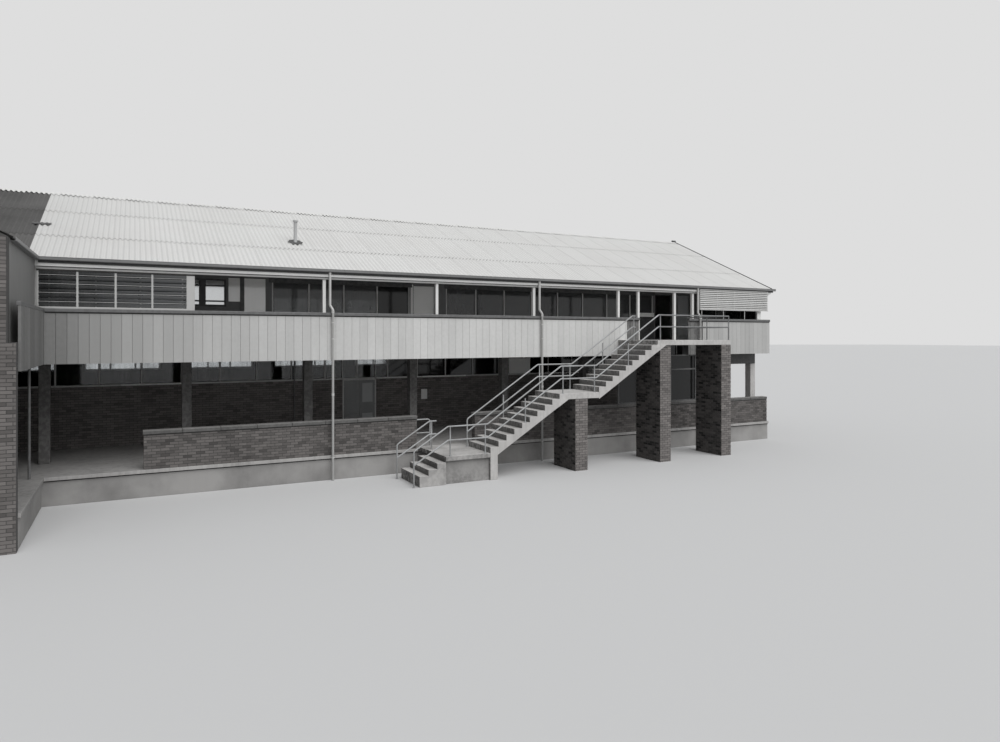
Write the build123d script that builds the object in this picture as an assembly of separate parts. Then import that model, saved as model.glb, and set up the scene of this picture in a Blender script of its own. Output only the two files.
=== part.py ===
"""Two-storey school block with an open verandah, an undercroft and an outside concrete stair.

Millimetres, +Z up, +X along the front to the right, +Y into the building.
The sizes below are written in setting-out coordinates: X is 0 on the first verandah post line,
Y is 0 on the outer face of the balustrade boards, Z is 0 at the foot of the stair.
Every piece is moved at the end so that the origin is the middle of the footprint at its lowest level.
"""
from build123d import *
import math
import os

# Levels
RISER = 180
FLIGHT_RISERS = 10
FOOT_RISERS = 4
STOREY_RISERS = 2 * FLIGHT_RISERS + FOOT_RISERS
UPPER_FLOOR = STOREY_RISERS * RISER
GROUND_FLOOR = 645
LOWEST_GROUND = -150

# Setting out along and across the building
BAY = 3965
BAYS = 7
WING_BAYS = 1
BOARD_FACE = 0
BOARD_THICKNESS = 60
CORNER_X = 236
RIGHT_END = 28320
VERANDAH_DEPTH = 2400
GROUND_WALL_Y = 5000
RIDGE_Y = 5920
REAR_FACE = 11450
PARTY_X = -WING_BAYS * BAY
PARTY_Y = -WING_BAYS * BAY

# Structure
GROUND_SLAB = 100
LEDGE_PROJECTION = 60
UPPER_SLAB = 150
BRICK_WALL = 230
FRAME_WALL = 120
COLUMN = 300
END_COLUMN = 300
POST = 100
BEAM_WIDTH = 150
END_BEAM_DROP = 950
END_COLUMN_SETBACK = 400

# Balustrade band and eave, heights above the upper floor
BAND_TOP = 800
BAND_DROP = 620
CAP_HEIGHT = 100
CAP_OVERHANG = 40
EAVE_HEIGHT = 2280
BEAM_DROP = 310
FASCIA_DROP = 240
GUTTER_BACK_DROP = 45
FASCIA_THICKNESS = 45
CEILING = 12

# Roof
EAVE_OVERHANG = 60
RIDGE_HEIGHT = 5160
SHEET_DEPTH = 54
VERGE_X = 28420
WING_EAVE_X = 95
OLD_ROOF_X = -150
GUTTER_WIDTH = 120
GUTTER_HEIGHT = 90
GUTTER_WALL = 4
GUTTER_END = 28600
RIDGE_CAP_WING = 230
RIDGE_CAP_THICKNESS = 14
BARGE_WIDTH = 190
BARGE_THICKNESS = 32
VENT_X = 7480
VENT_Y = 2300
VENT_RADIUS = 60
VENT_HEIGHT = 700
VENT_CAP_RADIUS = 90
VENT_CAP_HEIGHT = 60
VENT_FLASHING = 360
FLASHING_THICKNESS = 6

# Stair
GOING = 296
STAIR_OUTER = -2210
STAIR_INNER = -670
STAIR_FOOT = 10270
WAIST_DROP = 244
LOWER_LANDING = 1572
LOWER_LANDING_SLAB = 140
LOWER_LANDING_BASE_INSET = 90
FLIGHT_FOOT = 270
MIDDLE_LANDING = 1650
MIDDLE_LANDING_SLAB = 200
TOP_LANDING_END = 23400
TOP_LANDING_SLAB = 180
PIER_WIDTH = 500
PIER_BACK = -930
MIDDLE_PIER_SETBACK = 650
LEFT_PIER_SETBACK = 110

# Pipe handrails
PIPE_RADIUS = 24
UPRIGHT_RADIUS = 21
UPRIGHT_SETBACK = 80
RAIL_HEIGHT = 930
MID_RAIL_HEIGHT = 500
RAIL_BEND = 110
RAIL_INSET = 50
NEWEL_LEAD = 170
GAP_RAIL = 560
GAP_RAIL_HEIGHT = 960

# Band opening and stair head
OPENING_LEFT = 20790
OPENING_RIGHT = 23450
CLADDING_LEFT_END = 20150
CLADDING_RIGHT_START = 24250
OLD_BOARDS_SETBACK = 25
ENTRY_POSTS = (20840, 22780)

# Low brick wall
LOW_WALL_TOP = 1755
COPING = 110
COPING_OVERHANG = 35
LOW_WALL_LEFT = 2680
LOW_WALL_GAP_LEFT = 11100
LOW_WALL_GAP_RIGHT = 13350
LOW_WALL_RIGHT = 28200

# Ground-floor windows and the double door
HEAD_HEIGHT = 2100
FRAME_FACE = 50
FRAME_DEPTH = 70
LIGHTS = 3
DOOR_LEFT = 9950
DOOR_WIDTH = 1410
DOOR_FRAME = 50
LEAF_THICKNESS = 45
LEAF_GAP = 6
KNOB_HEIGHT = 1000
KNOB_RADIUS = 28
KNOB_REACH = 60
KNOB_INSET = 70
LEAF_BEVEL = 3
HINGE_RADIUS = 9
HINGE_HEIGHT = 45
HINGE_PLAY = 0.3
HINGE_HEIGHTS = (220, 1000, 1780)
FLAP_THICKNESS = 3

# Upper windows and doors
SILL_HEIGHT = 900
HEAD_DROP = 230
CLASSROOM_DOOR = 860
HALL_DOOR_X = 11950
HALL_WAY_X = 23820
HALL_WAY_WIDTH = 1000
STAIR_DOOR_X = 25030
DOOR_POST = 90
SCREEN_SILL = 1200
SCREEN_TRANSOMS = (1340, 1850)
SCREEN_LIGHTS = ((4210, 4350), (4560, 5140))
SCREEN_POST = 60
PANEL_LIGHTS = (4,)
REAR_INSET = 400
GROUND_REAR_SILL = 2360
GLASS = 6
LOUVRE_PANELS = 4
LOUVRE_BLADES = 8
LOUVRE_THICKNESS = 8
LOUVRE_CHORD = 110
LOUVRE_ANGLE = 35
LOUVRE_END_BOARD = 175
LOUVRE_BOARD_LAP = 75

# Infill window under the right-hand stair piers
INFILL_LEFT = 19830
INFILL_RIGHT = 23995
TRANSOM_HEIGHT = 2470

# Sunhood, downpipes
HOOD_LEFT = 24050
HOOD_RIGHT = 28170
HOOD_DROP = 130
HOOD_DEPTH = 880
HOOD_STILES = 4
HOOD_SLATS = 10
SLAT_THICKNESS = 14
SLAT_SHARE = 0.72
PIPE_SIZE = 40
PIPE_OFFSET = 150
PIPE_JOG = 80
PIPE_BAYS = (2, 4, 6)

BEAM_BOTTOM = EAVE_HEIGHT - BEAM_DROP
FASCIA_BOTTOM = EAVE_HEIGHT - FASCIA_DROP
GUTTER_BACK = EAVE_HEIGHT - GUTTER_BACK_DROP
HOOD_TOP = EAVE_HEIGHT - HOOD_DROP
HOOD_BOTTOM = HOOD_TOP - HOOD_DEPTH
UPPER_HEAD = EAVE_HEIGHT - HEAD_DROP
LIGHT_PITCH = BAY / LIGHTS
PITCH = math.atan2(RIDGE_HEIGHT - EAVE_HEIGHT, RIDGE_Y + EAVE_OVERHANG)
REAR_EAVE = 2 * RIDGE_Y + EAVE_OVERHANG
ROOF_FALL = SHEET_DEPTH / math.cos(PITCH)
BAND_BACK = BOARD_FACE + BOARD_THICKNESS
SLAB_FRONT = BAND_BACK
BEAM_BACK = BAND_BACK + BEAM_WIDTH
GROUND_CEILING = UPPER_FLOOR - UPPER_SLAB
PLINTH_TOP = GROUND_FLOOR - GROUND_SLAB
END_WALL_X = RIGHT_END - BOARD_THICKNESS
FASCIA_FACE = BAND_BACK - FASCIA_THICKNESS
WING_FASCIA_X = WING_EAVE_X - EAVE_OVERHANG - FASCIA_FACE
LOWER_LANDING_LEVEL = FOOT_RISERS * RISER
MIDDLE_LANDING_LEVEL = LOWER_LANDING_LEVEL + FLIGHT_RISERS * RISER
LOWER_LANDING_X = STAIR_FOOT + (FOOT_RISERS - 1) * GOING
LOWER_FLIGHT_X = LOWER_LANDING_X + LOWER_LANDING
MIDDLE_LANDING_X = LOWER_FLIGHT_X + (FLIGHT_RISERS - 1) * GOING
UPPER_FLIGHT_X = MIDDLE_LANDING_X + MIDDLE_LANDING
TOP_LANDING_X = UPPER_FLIGHT_X + (FLIGHT_RISERS - 1) * GOING


def block(x0, x1, y0, y1, z0, z1):
    """A plain block between two corners."""
    middle = Pos((x0 + x1) / 2, (y0 + y1) / 2, (z0 + z1) / 2)
    return middle * Box(x1 - x0, y1 - y0, z1 - z0)


def across(points, x0, x1):
    """A section drawn in Y and Z, run along X from x0 to x1."""
    plane = Plane(origin=(x0, 0, 0), x_dir=(0, 1, 0), z_dir=(1, 0, 0))
    return extrude(plane * make_face(Polyline(*points, close=True)), amount=x1 - x0)


def along(points, y0, y1):
    """A section drawn in X and Z, run along Y from y0 to y1."""
    plane = Plane(origin=(0, y1, 0), x_dir=(1, 0, 0), z_dir=(0, -1, 0))
    return extrude(plane * make_face(Polyline(*points, close=True)), amount=y1 - y0)


def pipe_run(points, radius, bend):
    """A round pipe along straight runs joined by bends, with its ends at the first and last points."""
    path = FilletPolyline(*points, radius=bend)
    return sweep(Plane(origin=path @ 0, z_dir=path % 0) * Circle(radius), path=path)


def stake(x, y, z0, z1, radius):
    """An upright round post."""
    return Pos(x, y, (z0 + z1) / 2) * Cylinder(radius, z1 - z0)


def roof_top(y):
    """Height of the roof surface above the setting-out level at distance y."""
    distance = min(y + EAVE_OVERHANG, REAR_EAVE - y)
    return UPPER_FLOOR + EAVE_HEIGHT + distance * math.tan(PITCH)


def roof_under(y):
    return roof_top(y) - ROOF_FALL


def wing_roof_under(x):
    """Underside of the wing's slope, which rises away from its eave towards -X."""
    return roof_under(-EAVE_OVERHANG) + (WING_EAVE_X - x) * math.tan(PITCH)


def mirrored(points):
    """Points of a Y and Z section, turned about the ridge line to the rear of the building."""
    return [(2 * RIDGE_Y - y, z) for y, z in points]


def plinth():
    """Rendered plinth mass under the main block and the wing."""
    main = block(PARTY_X, END_WALL_X, SLAB_FRONT, REAR_FACE, LOWEST_GROUND, PLINTH_TOP)
    wing = block(PARTY_X, CORNER_X - BOARD_THICKNESS, PARTY_Y, SLAB_FRONT, LOWEST_GROUND, PLINTH_TOP)
    return main + wing


def ground_slab():
    """Ground-floor slab whose edge stands out as a light ledge."""
    front = SLAB_FRONT - LEDGE_PROJECTION
    wing_edge = CORNER_X - BOARD_THICKNESS + LEDGE_PROJECTION
    main = block(PARTY_X, END_WALL_X, front, REAR_FACE, PLINTH_TOP, GROUND_FLOOR)
    wing = block(PARTY_X, wing_edge, PARTY_Y, front, PLINTH_TOP, GROUND_FLOOR)
    return main + wing


def low_walls():
    """Brick parapet of the undercroft, either side of the way in from the lower landing."""
    back = SLAB_FRONT + BRICK_WALL
    top = LOW_WALL_TOP - COPING
    left = block(LOW_WALL_LEFT, LOW_WALL_GAP_LEFT, SLAB_FRONT, back, GROUND_FLOOR, top)
    right = block(LOW_WALL_GAP_RIGHT, LOW_WALL_RIGHT, SLAB_FRONT, back, GROUND_FLOOR, top)
    return [left, right]


def low_wall_copings():
    front = SLAB_FRONT - COPING_OVERHANG
    back = SLAB_FRONT + BRICK_WALL + COPING_OVERHANG
    bottom = LOW_WALL_TOP - COPING
    left = block(
        LOW_WALL_LEFT - COPING_OVERHANG, LOW_WALL_GAP_LEFT + COPING_OVERHANG,
        front, back, bottom, LOW_WALL_TOP)
    right = block(
        LOW_WALL_GAP_RIGHT - COPING_OVERHANG, LOW_WALL_RIGHT,
        front, back, bottom, LOW_WALL_TOP)
    return [left, right]


def ground_columns():
    """Concrete columns of the undercroft, one on each post line."""
    columns = []
    for line in range(BAYS):
        x = line * BAY
        columns.append(block(
            x - COLUMN / 2, x + COLUMN / 2,
            VERANDAH_DEPTH - COLUMN / 2, VERANDAH_DEPTH + COLUMN / 2,
            GROUND_FLOOR, GROUND_CEILING))
    return columns


def end_column_front():
    """Distance of the end column and its beam behind the low wall."""
    return SLAB_FRONT + BRICK_WALL + COPING_OVERHANG + END_COLUMN_SETBACK


def end_column():
    """Pale column at the right-hand end, under the end beam."""
    front = end_column_front()
    return block(
        END_WALL_X - END_COLUMN, END_WALL_X, front, front + END_COLUMN,
        GROUND_FLOOR, GROUND_CEILING - END_BEAM_DROP)


def end_beam():
    """Beam that carries the last bay of the verandah over the open end."""
    front = end_column_front()
    return block(
        (BAYS - 1) * BAY, END_WALL_X, front, front + END_COLUMN,
        GROUND_CEILING - END_BEAM_DROP, GROUND_CEILING)


def window_lines(first, last):
    """Ends of each group of window lights, one group to a bay."""
    return [(line * BAY + POST, (line + 1) * BAY - POST) for line in range(first, last)]


def ground_front_wall():
    """Brick wall of the ground-floor rooms, up to the sill of the high windows."""
    back = GROUND_WALL_Y + BRICK_WALL
    top = GROUND_FLOOR + HEAD_HEIGHT
    end = END_WALL_X - BRICK_WALL
    left = block(PARTY_X, DOOR_LEFT, GROUND_WALL_Y, back, GROUND_FLOOR, top)
    right = block(DOOR_LEFT + DOOR_WIDTH, end, GROUND_WALL_Y, back, GROUND_FLOOR, top)
    nib = block(BAYS * BAY, end, GROUND_WALL_Y, back, top, GROUND_CEILING)
    return [left, right + nib]


def light_frame(x0, x1, y0, z0, z1, lights, depth=FRAME_DEPTH):
    """One window frame with its mullions, in a wall that runs along X."""
    frame = block(x0, x1, y0, y0 + depth, z0, z1)
    for left, right in light_spans(x0, x1, lights):
        frame -= block(left, right, y0, y0 + depth, z0 + FRAME_FACE, z1 - FRAME_FACE)
    return frame


def light_spans(x0, x1, lights):
    """Clear openings between the mullions of one frame."""
    clear = (x1 - x0 - (lights + 1) * FRAME_FACE) / lights
    starts = [x0 + FRAME_FACE + i * (clear + FRAME_FACE) for i in range(lights)]
    return [(start, start + clear) for start in starts]


def panes(x0, x1, y0, z0, z1, lights, depth=FRAME_DEPTH):
    """Glass of one frame, one pane to each light."""
    front = y0 + (depth - GLASS) / 2
    return [
        block(left, right, front, front + GLASS, z0 + FRAME_FACE, z1 - FRAME_FACE)
        for left, right in light_spans(x0, x1, lights)]


def high_windows():
    """Strip of high windows over the brick wall, three lights to a bay."""
    y0 = GROUND_WALL_Y + (BRICK_WALL - FRAME_DEPTH) / 2
    lights = LIGHTS * (BAYS + WING_BAYS)
    return [(PARTY_X, BAYS * BAY, y0, GROUND_FLOOR + HEAD_HEIGHT, GROUND_CEILING, lights)]


def rear_openings():
    """High window openings of the ground-floor rear wall, one to a bay."""
    y0 = REAR_FACE - (BRICK_WALL + FRAME_DEPTH) / 2
    z0 = GROUND_FLOOR + GROUND_REAR_SILL
    z1 = GROUND_CEILING - BEAM_WIDTH
    return [
        (x0 + REAR_INSET, x1 - REAR_INSET, y0, z0, z1, LIGHTS)
        for x0, x1 in window_lines(-WING_BAYS, BAYS)]


def ground_rear_wall():
    wall = block(
        PARTY_X, END_WALL_X - BRICK_WALL,
        REAR_FACE - BRICK_WALL, REAR_FACE, GROUND_FLOOR, GROUND_CEILING)
    for x0, x1, _, z0, z1, _ in rear_openings():
        wall -= block(x0, x1, REAR_FACE - BRICK_WALL, REAR_FACE, z0, z1)
    return wall


def ground_end_wall():
    """Brick wall that closes the ground-floor rooms at the right-hand end."""
    return block(
        END_WALL_X - BRICK_WALL, END_WALL_X, GROUND_WALL_Y, REAR_FACE,
        GROUND_FLOOR, GROUND_CEILING)


def infill_head():
    """Head of the glazed screen, level with the bottom of the band in front of it."""
    return UPPER_FLOOR - BAND_DROP


def infill_window():
    """Glazed screen above the low wall, between the two right-hand stair piers."""
    y0 = SLAB_FRONT + (BRICK_WALL - FRAME_DEPTH) / 2
    transom = GROUND_FLOOR + TRANSOM_HEIGHT
    lower = light_frame(INFILL_LEFT, INFILL_RIGHT, y0, LOW_WALL_TOP, transom, LIGHTS)
    upper = light_frame(INFILL_LEFT, INFILL_RIGHT, y0, transom - FRAME_FACE, infill_head(), LIGHTS)
    return lower + upper


def ground_window_frames():
    frames = [light_frame(*window) for window in high_windows() + rear_openings()]
    return frames + [infill_window()]


def ground_window_glass():
    glass = []
    for window in high_windows() + rear_openings():
        glass += panes(*window)
    y0 = SLAB_FRONT + (BRICK_WALL - FRAME_DEPTH) / 2
    transom = GROUND_FLOOR + TRANSOM_HEIGHT
    glass += panes(INFILL_LEFT, INFILL_RIGHT, y0, LOW_WALL_TOP, transom, LIGHTS)
    glass += panes(INFILL_LEFT, INFILL_RIGHT, y0, transom - FRAME_FACE, infill_head(), LIGHTS)
    return glass


def hinge_axis(side):
    """Place of the hinge line in plan; side is -1 for the left leaf and 1 for the right leaf."""
    middle = DOOR_LEFT + DOOR_WIDTH / 2
    return middle + side * (DOOR_WIDTH / 2 - DOOR_FRAME - LEAF_GAP / 2), GROUND_WALL_Y - HINGE_RADIUS


def knuckles(side, lift, reach):
    """Barrels of the hinges with the flap that joins them to the leaf or to the frame."""
    x, y = hinge_axis(side)
    barrels = []
    for height in HINGE_HEIGHTS:
        z = GROUND_FLOOR + height + lift
        barrels.append(stake(x, y, z, z + HINGE_HEIGHT, HINGE_RADIUS))
        x0, x1 = sorted((x, x + reach))
        barrels.append(block(x0, x1, GROUND_WALL_Y - FLAP_THICKNESS, GROUND_WALL_Y, z, z + HINGE_HEIGHT))
    return barrels


def door_frame():
    """Jambs and head of the double door, inside the brick opening, with the lower hinge barrels."""
    x1 = DOOR_LEFT + DOOR_WIDTH
    top = GROUND_FLOOR + HEAD_HEIGHT
    frame = block(DOOR_LEFT, x1, GROUND_WALL_Y, GROUND_WALL_Y + BRICK_WALL, GROUND_FLOOR, top)
    frame -= block(
        DOOR_LEFT + DOOR_FRAME, x1 - DOOR_FRAME, GROUND_WALL_Y, GROUND_WALL_Y + BRICK_WALL,
        GROUND_FLOOR, top - DOOR_FRAME)
    for side in (-1, 1):
        for piece in knuckles(side, 0, side * DOOR_FRAME / 2):
            frame += piece
    return frame


def door_leaf(side):
    """One leaf of the double door, with a bevelled meeting edge and the upper hinge barrels."""
    middle = DOOR_LEFT + DOOR_WIDTH / 2
    hinge = middle + side * (DOOR_WIDTH / 2 - DOOR_FRAME - LEAF_GAP)
    meeting = middle + side * LEAF_GAP / 2
    back = GROUND_WALL_Y + LEAF_THICKNESS
    outline = [
        (hinge, GROUND_WALL_Y), (meeting, GROUND_WALL_Y),
        (meeting + side * LEAF_BEVEL, back), (hinge, back)]
    bottom = GROUND_FLOOR + LEAF_GAP
    height = HEAD_HEIGHT - DOOR_FRAME - 2 * LEAF_GAP
    face = make_face(Polyline(*outline, close=True))
    leaf = Pos(0, 0, bottom) * extrude(face, amount=height, dir=(0, 0, 1))
    for piece in knuckles(side, HINGE_HEIGHT + HINGE_PLAY, -side * DOOR_FRAME / 2):
        leaf += piece
    return leaf


def right_leaf():
    """Right leaf, which carries the knob."""
    knob_x = DOOR_LEFT + DOOR_WIDTH / 2 + LEAF_GAP / 2 + KNOB_INSET
    knob = Pos(knob_x, GROUND_WALL_Y - KNOB_REACH / 2, GROUND_FLOOR + KNOB_HEIGHT)
    return door_leaf(1) + knob * Rot(90, 0, 0) * Cylinder(KNOB_RADIUS, KNOB_REACH)


def party_walls():
    """Plain walls where the block carries on beyond the photograph."""
    wing_top = wing_roof_under(PARTY_X)
    side_section = [
        (PARTY_Y, LOWEST_GROUND), (REAR_FACE, LOWEST_GROUND), (REAR_FACE, roof_under(REAR_FACE)),
        (RIDGE_Y, roof_under(RIDGE_Y)),
        (WING_EAVE_X - PARTY_X - EAVE_OVERHANG, wing_top), (PARTY_Y, wing_top)]
    side = across(side_section, PARTY_X - BRICK_WALL, PARTY_X)
    wing_section = [
        (PARTY_X, LOWEST_GROUND), (CORNER_X - BOARD_THICKNESS, LOWEST_GROUND),
        (CORNER_X - BOARD_THICKNESS, UPPER_FLOOR), (WING_FASCIA_X, UPPER_FLOOR),
        (WING_FASCIA_X, wing_roof_under(WING_FASCIA_X)), (PARTY_X, wing_roof_under(PARTY_X))]
    front = along(wing_section, PARTY_Y - BRICK_WALL, PARTY_Y)
    return [side, front]


def upper_slab():
    """Upper floor of the block, the verandah and the wing."""
    main = block(PARTY_X, END_WALL_X, SLAB_FRONT, REAR_FACE, GROUND_CEILING, UPPER_FLOOR)
    wing = block(
        PARTY_X, CORNER_X - BOARD_THICKNESS, PARTY_Y, SLAB_FRONT, GROUND_CEILING, UPPER_FLOOR)
    return main + wing


def band_front():
    """Boarded balustrade band along the front, with a gap at the stair head."""
    z0 = UPPER_FLOOR - BAND_DROP
    z1 = UPPER_FLOOR + BAND_TOP
    left = block(CORNER_X, CLADDING_LEFT_END, BOARD_FACE, BAND_BACK, z0, z1)
    right = block(CLADDING_RIGHT_START, RIGHT_END, BOARD_FACE, BAND_BACK, z0, z1)
    return [left, right]


def old_band_panels():
    """Older, darker boards left showing either side of the way in from the top landing."""
    z0 = UPPER_FLOOR - BAND_DROP
    z1 = UPPER_FLOOR + BAND_TOP
    y0 = BOARD_FACE + OLD_BOARDS_SETBACK
    left = block(CLADDING_LEFT_END, OPENING_LEFT, y0, BAND_BACK, z0, z1)
    right = block(OPENING_RIGHT, CLADDING_RIGHT_START, y0, BAND_BACK, z0, z1)
    return [left, right]


def band_returns():
    """The same band along the wing and round the right-hand end."""
    z0 = UPPER_FLOOR - BAND_DROP
    z1 = UPPER_FLOOR + BAND_TOP
    wing = block(CORNER_X - BOARD_THICKNESS, CORNER_X, PARTY_Y, BAND_BACK, z0, z1)
    end = block(END_WALL_X, RIGHT_END, BAND_BACK, VERANDAH_DEPTH, z0, z1)
    return [wing, end]


def cap_rail_front():
    z0 = UPPER_FLOOR + BAND_TOP
    y0 = BOARD_FACE - CAP_OVERHANG
    y1 = BAND_BACK + CAP_OVERHANG
    left = block(CORNER_X, OPENING_LEFT, y0, y1, z0, z0 + CAP_HEIGHT)
    right = block(OPENING_RIGHT, RIGHT_END, y0, y1, z0, z0 + CAP_HEIGHT)
    return [left, right]


def cap_rail_returns():
    z0 = UPPER_FLOOR + BAND_TOP
    wing = block(
        CORNER_X - BOARD_THICKNESS - CAP_OVERHANG, CORNER_X, PARTY_Y, BAND_BACK, z0, z0 + CAP_HEIGHT)
    end = block(
        END_WALL_X - CAP_OVERHANG, RIGHT_END, BAND_BACK + CAP_OVERHANG, VERANDAH_DEPTH,
        z0, z0 + CAP_HEIGHT)
    return [wing, end]


def verandah_posts():
    """Square posts from the floor to the eave beam, and the two at the stair head."""
    centres = [line * BAY for line in range(BAYS + 1)] + list(ENTRY_POSTS)
    y0 = BAND_BACK + CAP_OVERHANG
    return [
        block(x - POST / 2, x + POST / 2, y0, y0 + POST, UPPER_FLOOR, UPPER_FLOOR + BEAM_BOTTOM)
        for x in centres]


def eave_beam():
    """Beam over the verandah posts, with its top cut to the slope of the roof."""
    bottom = UPPER_FLOOR + BEAM_BOTTOM
    section = [
        (BAND_BACK, bottom), (BEAM_BACK, bottom),
        (BEAM_BACK, roof_under(BEAM_BACK)), (BAND_BACK, roof_under(BAND_BACK))]
    return across(section, WING_FASCIA_X, RIGHT_END)


def wing_wall_panel():
    """Pale wall of the wing behind its band, up to the eave."""
    x0 = WING_FASCIA_X - BOARD_THICKNESS
    section = [
        (x0, UPPER_FLOOR), (WING_FASCIA_X, UPPER_FLOOR),
        (WING_FASCIA_X, wing_roof_under(WING_FASCIA_X)), (x0, wing_roof_under(x0))]
    return along(section, PARTY_Y, BAND_BACK)


def fascia():
    """White fascia boards of the front and rear eaves, with their tops cut to the roof slope."""
    z0 = UPPER_FLOOR + FASCIA_BOTTOM
    section = [
        (FASCIA_FACE, z0), (BAND_BACK, z0),
        (BAND_BACK, roof_under(BAND_BACK)), (FASCIA_FACE, roof_under(FASCIA_FACE))]
    x1 = VERGE_X - BARGE_THICKNESS
    return [across(section, WING_FASCIA_X, x1), across(mirrored(section), PARTY_X, x1)]


def gutter_section(lip):
    """Open gutter with a high lip, as distances into the building and heights."""
    top = UPPER_FLOOR + EAVE_HEIGHT
    bottom = top - GUTTER_HEIGHT
    back_top = UPPER_FLOOR + GUTTER_BACK
    wall = GUTTER_WALL
    outline = [
        (0, top), (0, bottom + wall * 4), (wall * 4, bottom), (GUTTER_WIDTH, bottom),
        (GUTTER_WIDTH, back_top), (GUTTER_WIDTH - wall, back_top), (GUTTER_WIDTH - wall, bottom + wall),
        (wall * 5, bottom + wall), (wall, bottom + wall * 5), (wall, top)]
    return [(lip + y, z) for y, z in outline]


def gutters():
    """Gutters of the front and rear eaves, and the wing's, which runs out of the corner."""
    lip = FASCIA_FACE - GUTTER_WIDTH
    section = gutter_section(lip)
    wing_lip = WING_FASCIA_X + GUTTER_WIDTH
    wing_section = [(wing_lip - (y - lip), z) for y, z in section]
    front = across(section, WING_FASCIA_X, GUTTER_END) + along(wing_section, PARTY_Y, FASCIA_FACE)
    wall = GUTTER_WALL
    floor = UPPER_FLOOR + EAVE_HEIGHT - GUTTER_HEIGHT + wall
    top = UPPER_FLOOR + EAVE_HEIGHT
    front -= block(WING_FASCIA_X + wall, wing_lip, lip + wall, FASCIA_FACE - wall, floor, top)
    front -= block(WING_FASCIA_X + wall, wing_lip - wall, lip, lip + 6 * wall, floor, top)
    back_top = UPPER_FLOOR + GUTTER_BACK
    front -= block(WING_FASCIA_X, WING_FASCIA_X + wall, lip, FASCIA_FACE, back_top, top)
    front -= block(WING_FASCIA_X, wing_lip, FASCIA_FACE - wall, FASCIA_FACE, back_top, top)
    rear = across(mirrored(section), PARTY_X, GUTTER_END)
    return [front, rear]


def verandah_ceiling():
    z0 = UPPER_FLOOR + EAVE_HEIGHT - CEILING
    return block(CORNER_X, END_WALL_X - FRAME_WALL, BEAM_BACK, VERANDAH_DEPTH, z0, z0 + CEILING)


def classroom_door_spans():
    """Ends of the two classroom doors and of the open way beside the stair head."""
    return [
        (HALL_DOOR_X, HALL_DOOR_X + CLASSROOM_DOOR),
        (HALL_WAY_X, HALL_WAY_X + HALL_WAY_WIDTH),
        (STAIR_DOOR_X, STAIR_DOOR_X + CLASSROOM_DOOR)]


def window_runs():
    """Stretches of the classroom wall between its doors and blank panels, as numbers of lights."""
    broken = set(PANEL_LIGHTS) | {LIGHTS}
    for x0, x1 in classroom_door_spans():
        broken |= set(range(int(x0 // LIGHT_PITCH), int(x1 // LIGHT_PITCH) + 1))
    runs = []
    for light in range(LIGHTS * BAYS):
        if light in broken:
            continue
        if runs and runs[-1][1] == light:
            runs[-1][1] = light + 1
        else:
            runs.append([light, light + 1])
    return runs


def inner_windows():
    """Windows of the classroom wall behind the verandah, in lights of a third of a bay."""
    y0 = VERANDAH_DEPTH + (FRAME_WALL - FRAME_DEPTH) / 2
    z0 = UPPER_FLOOR + SILL_HEIGHT
    z1 = UPPER_FLOOR + UPPER_HEAD
    return [
        (first * LIGHT_PITCH + DOOR_POST, last * LIGHT_PITCH - DOOR_POST, y0, z0, z1, last - first)
        for first, last in window_runs()]


def screen_edges():
    """Outer edges of the unglazed screen in the second bay, and its sill and head."""
    return (
        SCREEN_LIGHTS[0][0] - SCREEN_POST, SCREEN_LIGHTS[-1][1] + SCREEN_POST,
        UPPER_FLOOR + SCREEN_SILL - SCREEN_POST, UPPER_FLOOR + UPPER_HEAD)


def open_screen():
    """Unglazed screen of two unequal lights with cross bars, beside the louvred bay."""
    y0 = VERANDAH_DEPTH + (FRAME_WALL - FRAME_DEPTH) / 2
    x0, x1, z0, z1 = screen_edges()
    screen = block(x0, x1, y0, y0 + FRAME_DEPTH, z0, z1)
    levels = [SCREEN_SILL, *SCREEN_TRANSOMS, UPPER_HEAD]
    for left, right in SCREEN_LIGHTS:
        for low, high in zip(levels, levels[1:]):
            screen -= block(
                left, right, y0, y0 + FRAME_DEPTH,
                UPPER_FLOOR + low, UPPER_FLOOR + high - FRAME_FACE)
    return screen


def inner_wall():
    """Framed wall between the verandah and the classrooms, with its top cut to the roof slope."""
    back = VERANDAH_DEPTH + FRAME_WALL
    section = [
        (VERANDAH_DEPTH, UPPER_FLOOR), (back, UPPER_FLOOR),
        (back, roof_under(back)), (VERANDAH_DEPTH, roof_under(VERANDAH_DEPTH))]
    wall = across(section, PARTY_X, END_WALL_X - FRAME_WALL)
    for x0, x1, _, z0, z1, _ in inner_windows():
        wall -= block(x0, x1, VERANDAH_DEPTH, back, z0, z1)
    x0, x1, z0, z1 = screen_edges()
    wall -= block(x0, x1, VERANDAH_DEPTH, back, z0, z1)
    for x0, x1 in classroom_door_spans():
        wall -= block(x0, x1, VERANDAH_DEPTH, back, UPPER_FLOOR, UPPER_FLOOR + UPPER_HEAD)
    return wall


def classroom_doors():
    """Shut leaves of the two classroom doors, with their knobs; the way between them stands open."""
    y0 = VERANDAH_DEPTH + (FRAME_WALL - LEAF_THICKNESS) / 2
    head = UPPER_FLOOR + UPPER_HEAD
    doors = []
    for x0 in (HALL_DOOR_X, STAIR_DOOR_X):
        leaf = block(x0, x0 + CLASSROOM_DOOR, y0, y0 + LEAF_THICKNESS, UPPER_FLOOR, head)
        knob = Pos(x0 + KNOB_INSET, y0 - KNOB_REACH / 2, UPPER_FLOOR + KNOB_HEIGHT)
        doors.append(leaf + knob * Rot(90, 0, 0) * Cylinder(KNOB_RADIUS, KNOB_REACH))
    return doors


def upper_rear_windows():
    y0 = REAR_FACE - (FRAME_WALL + FRAME_DEPTH) / 2
    return [
        (x0, x1, y0, UPPER_FLOOR + SILL_HEIGHT, UPPER_FLOOR + UPPER_HEAD, LIGHTS)
        for x0, x1 in window_lines(-WING_BAYS, BAYS)]


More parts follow.
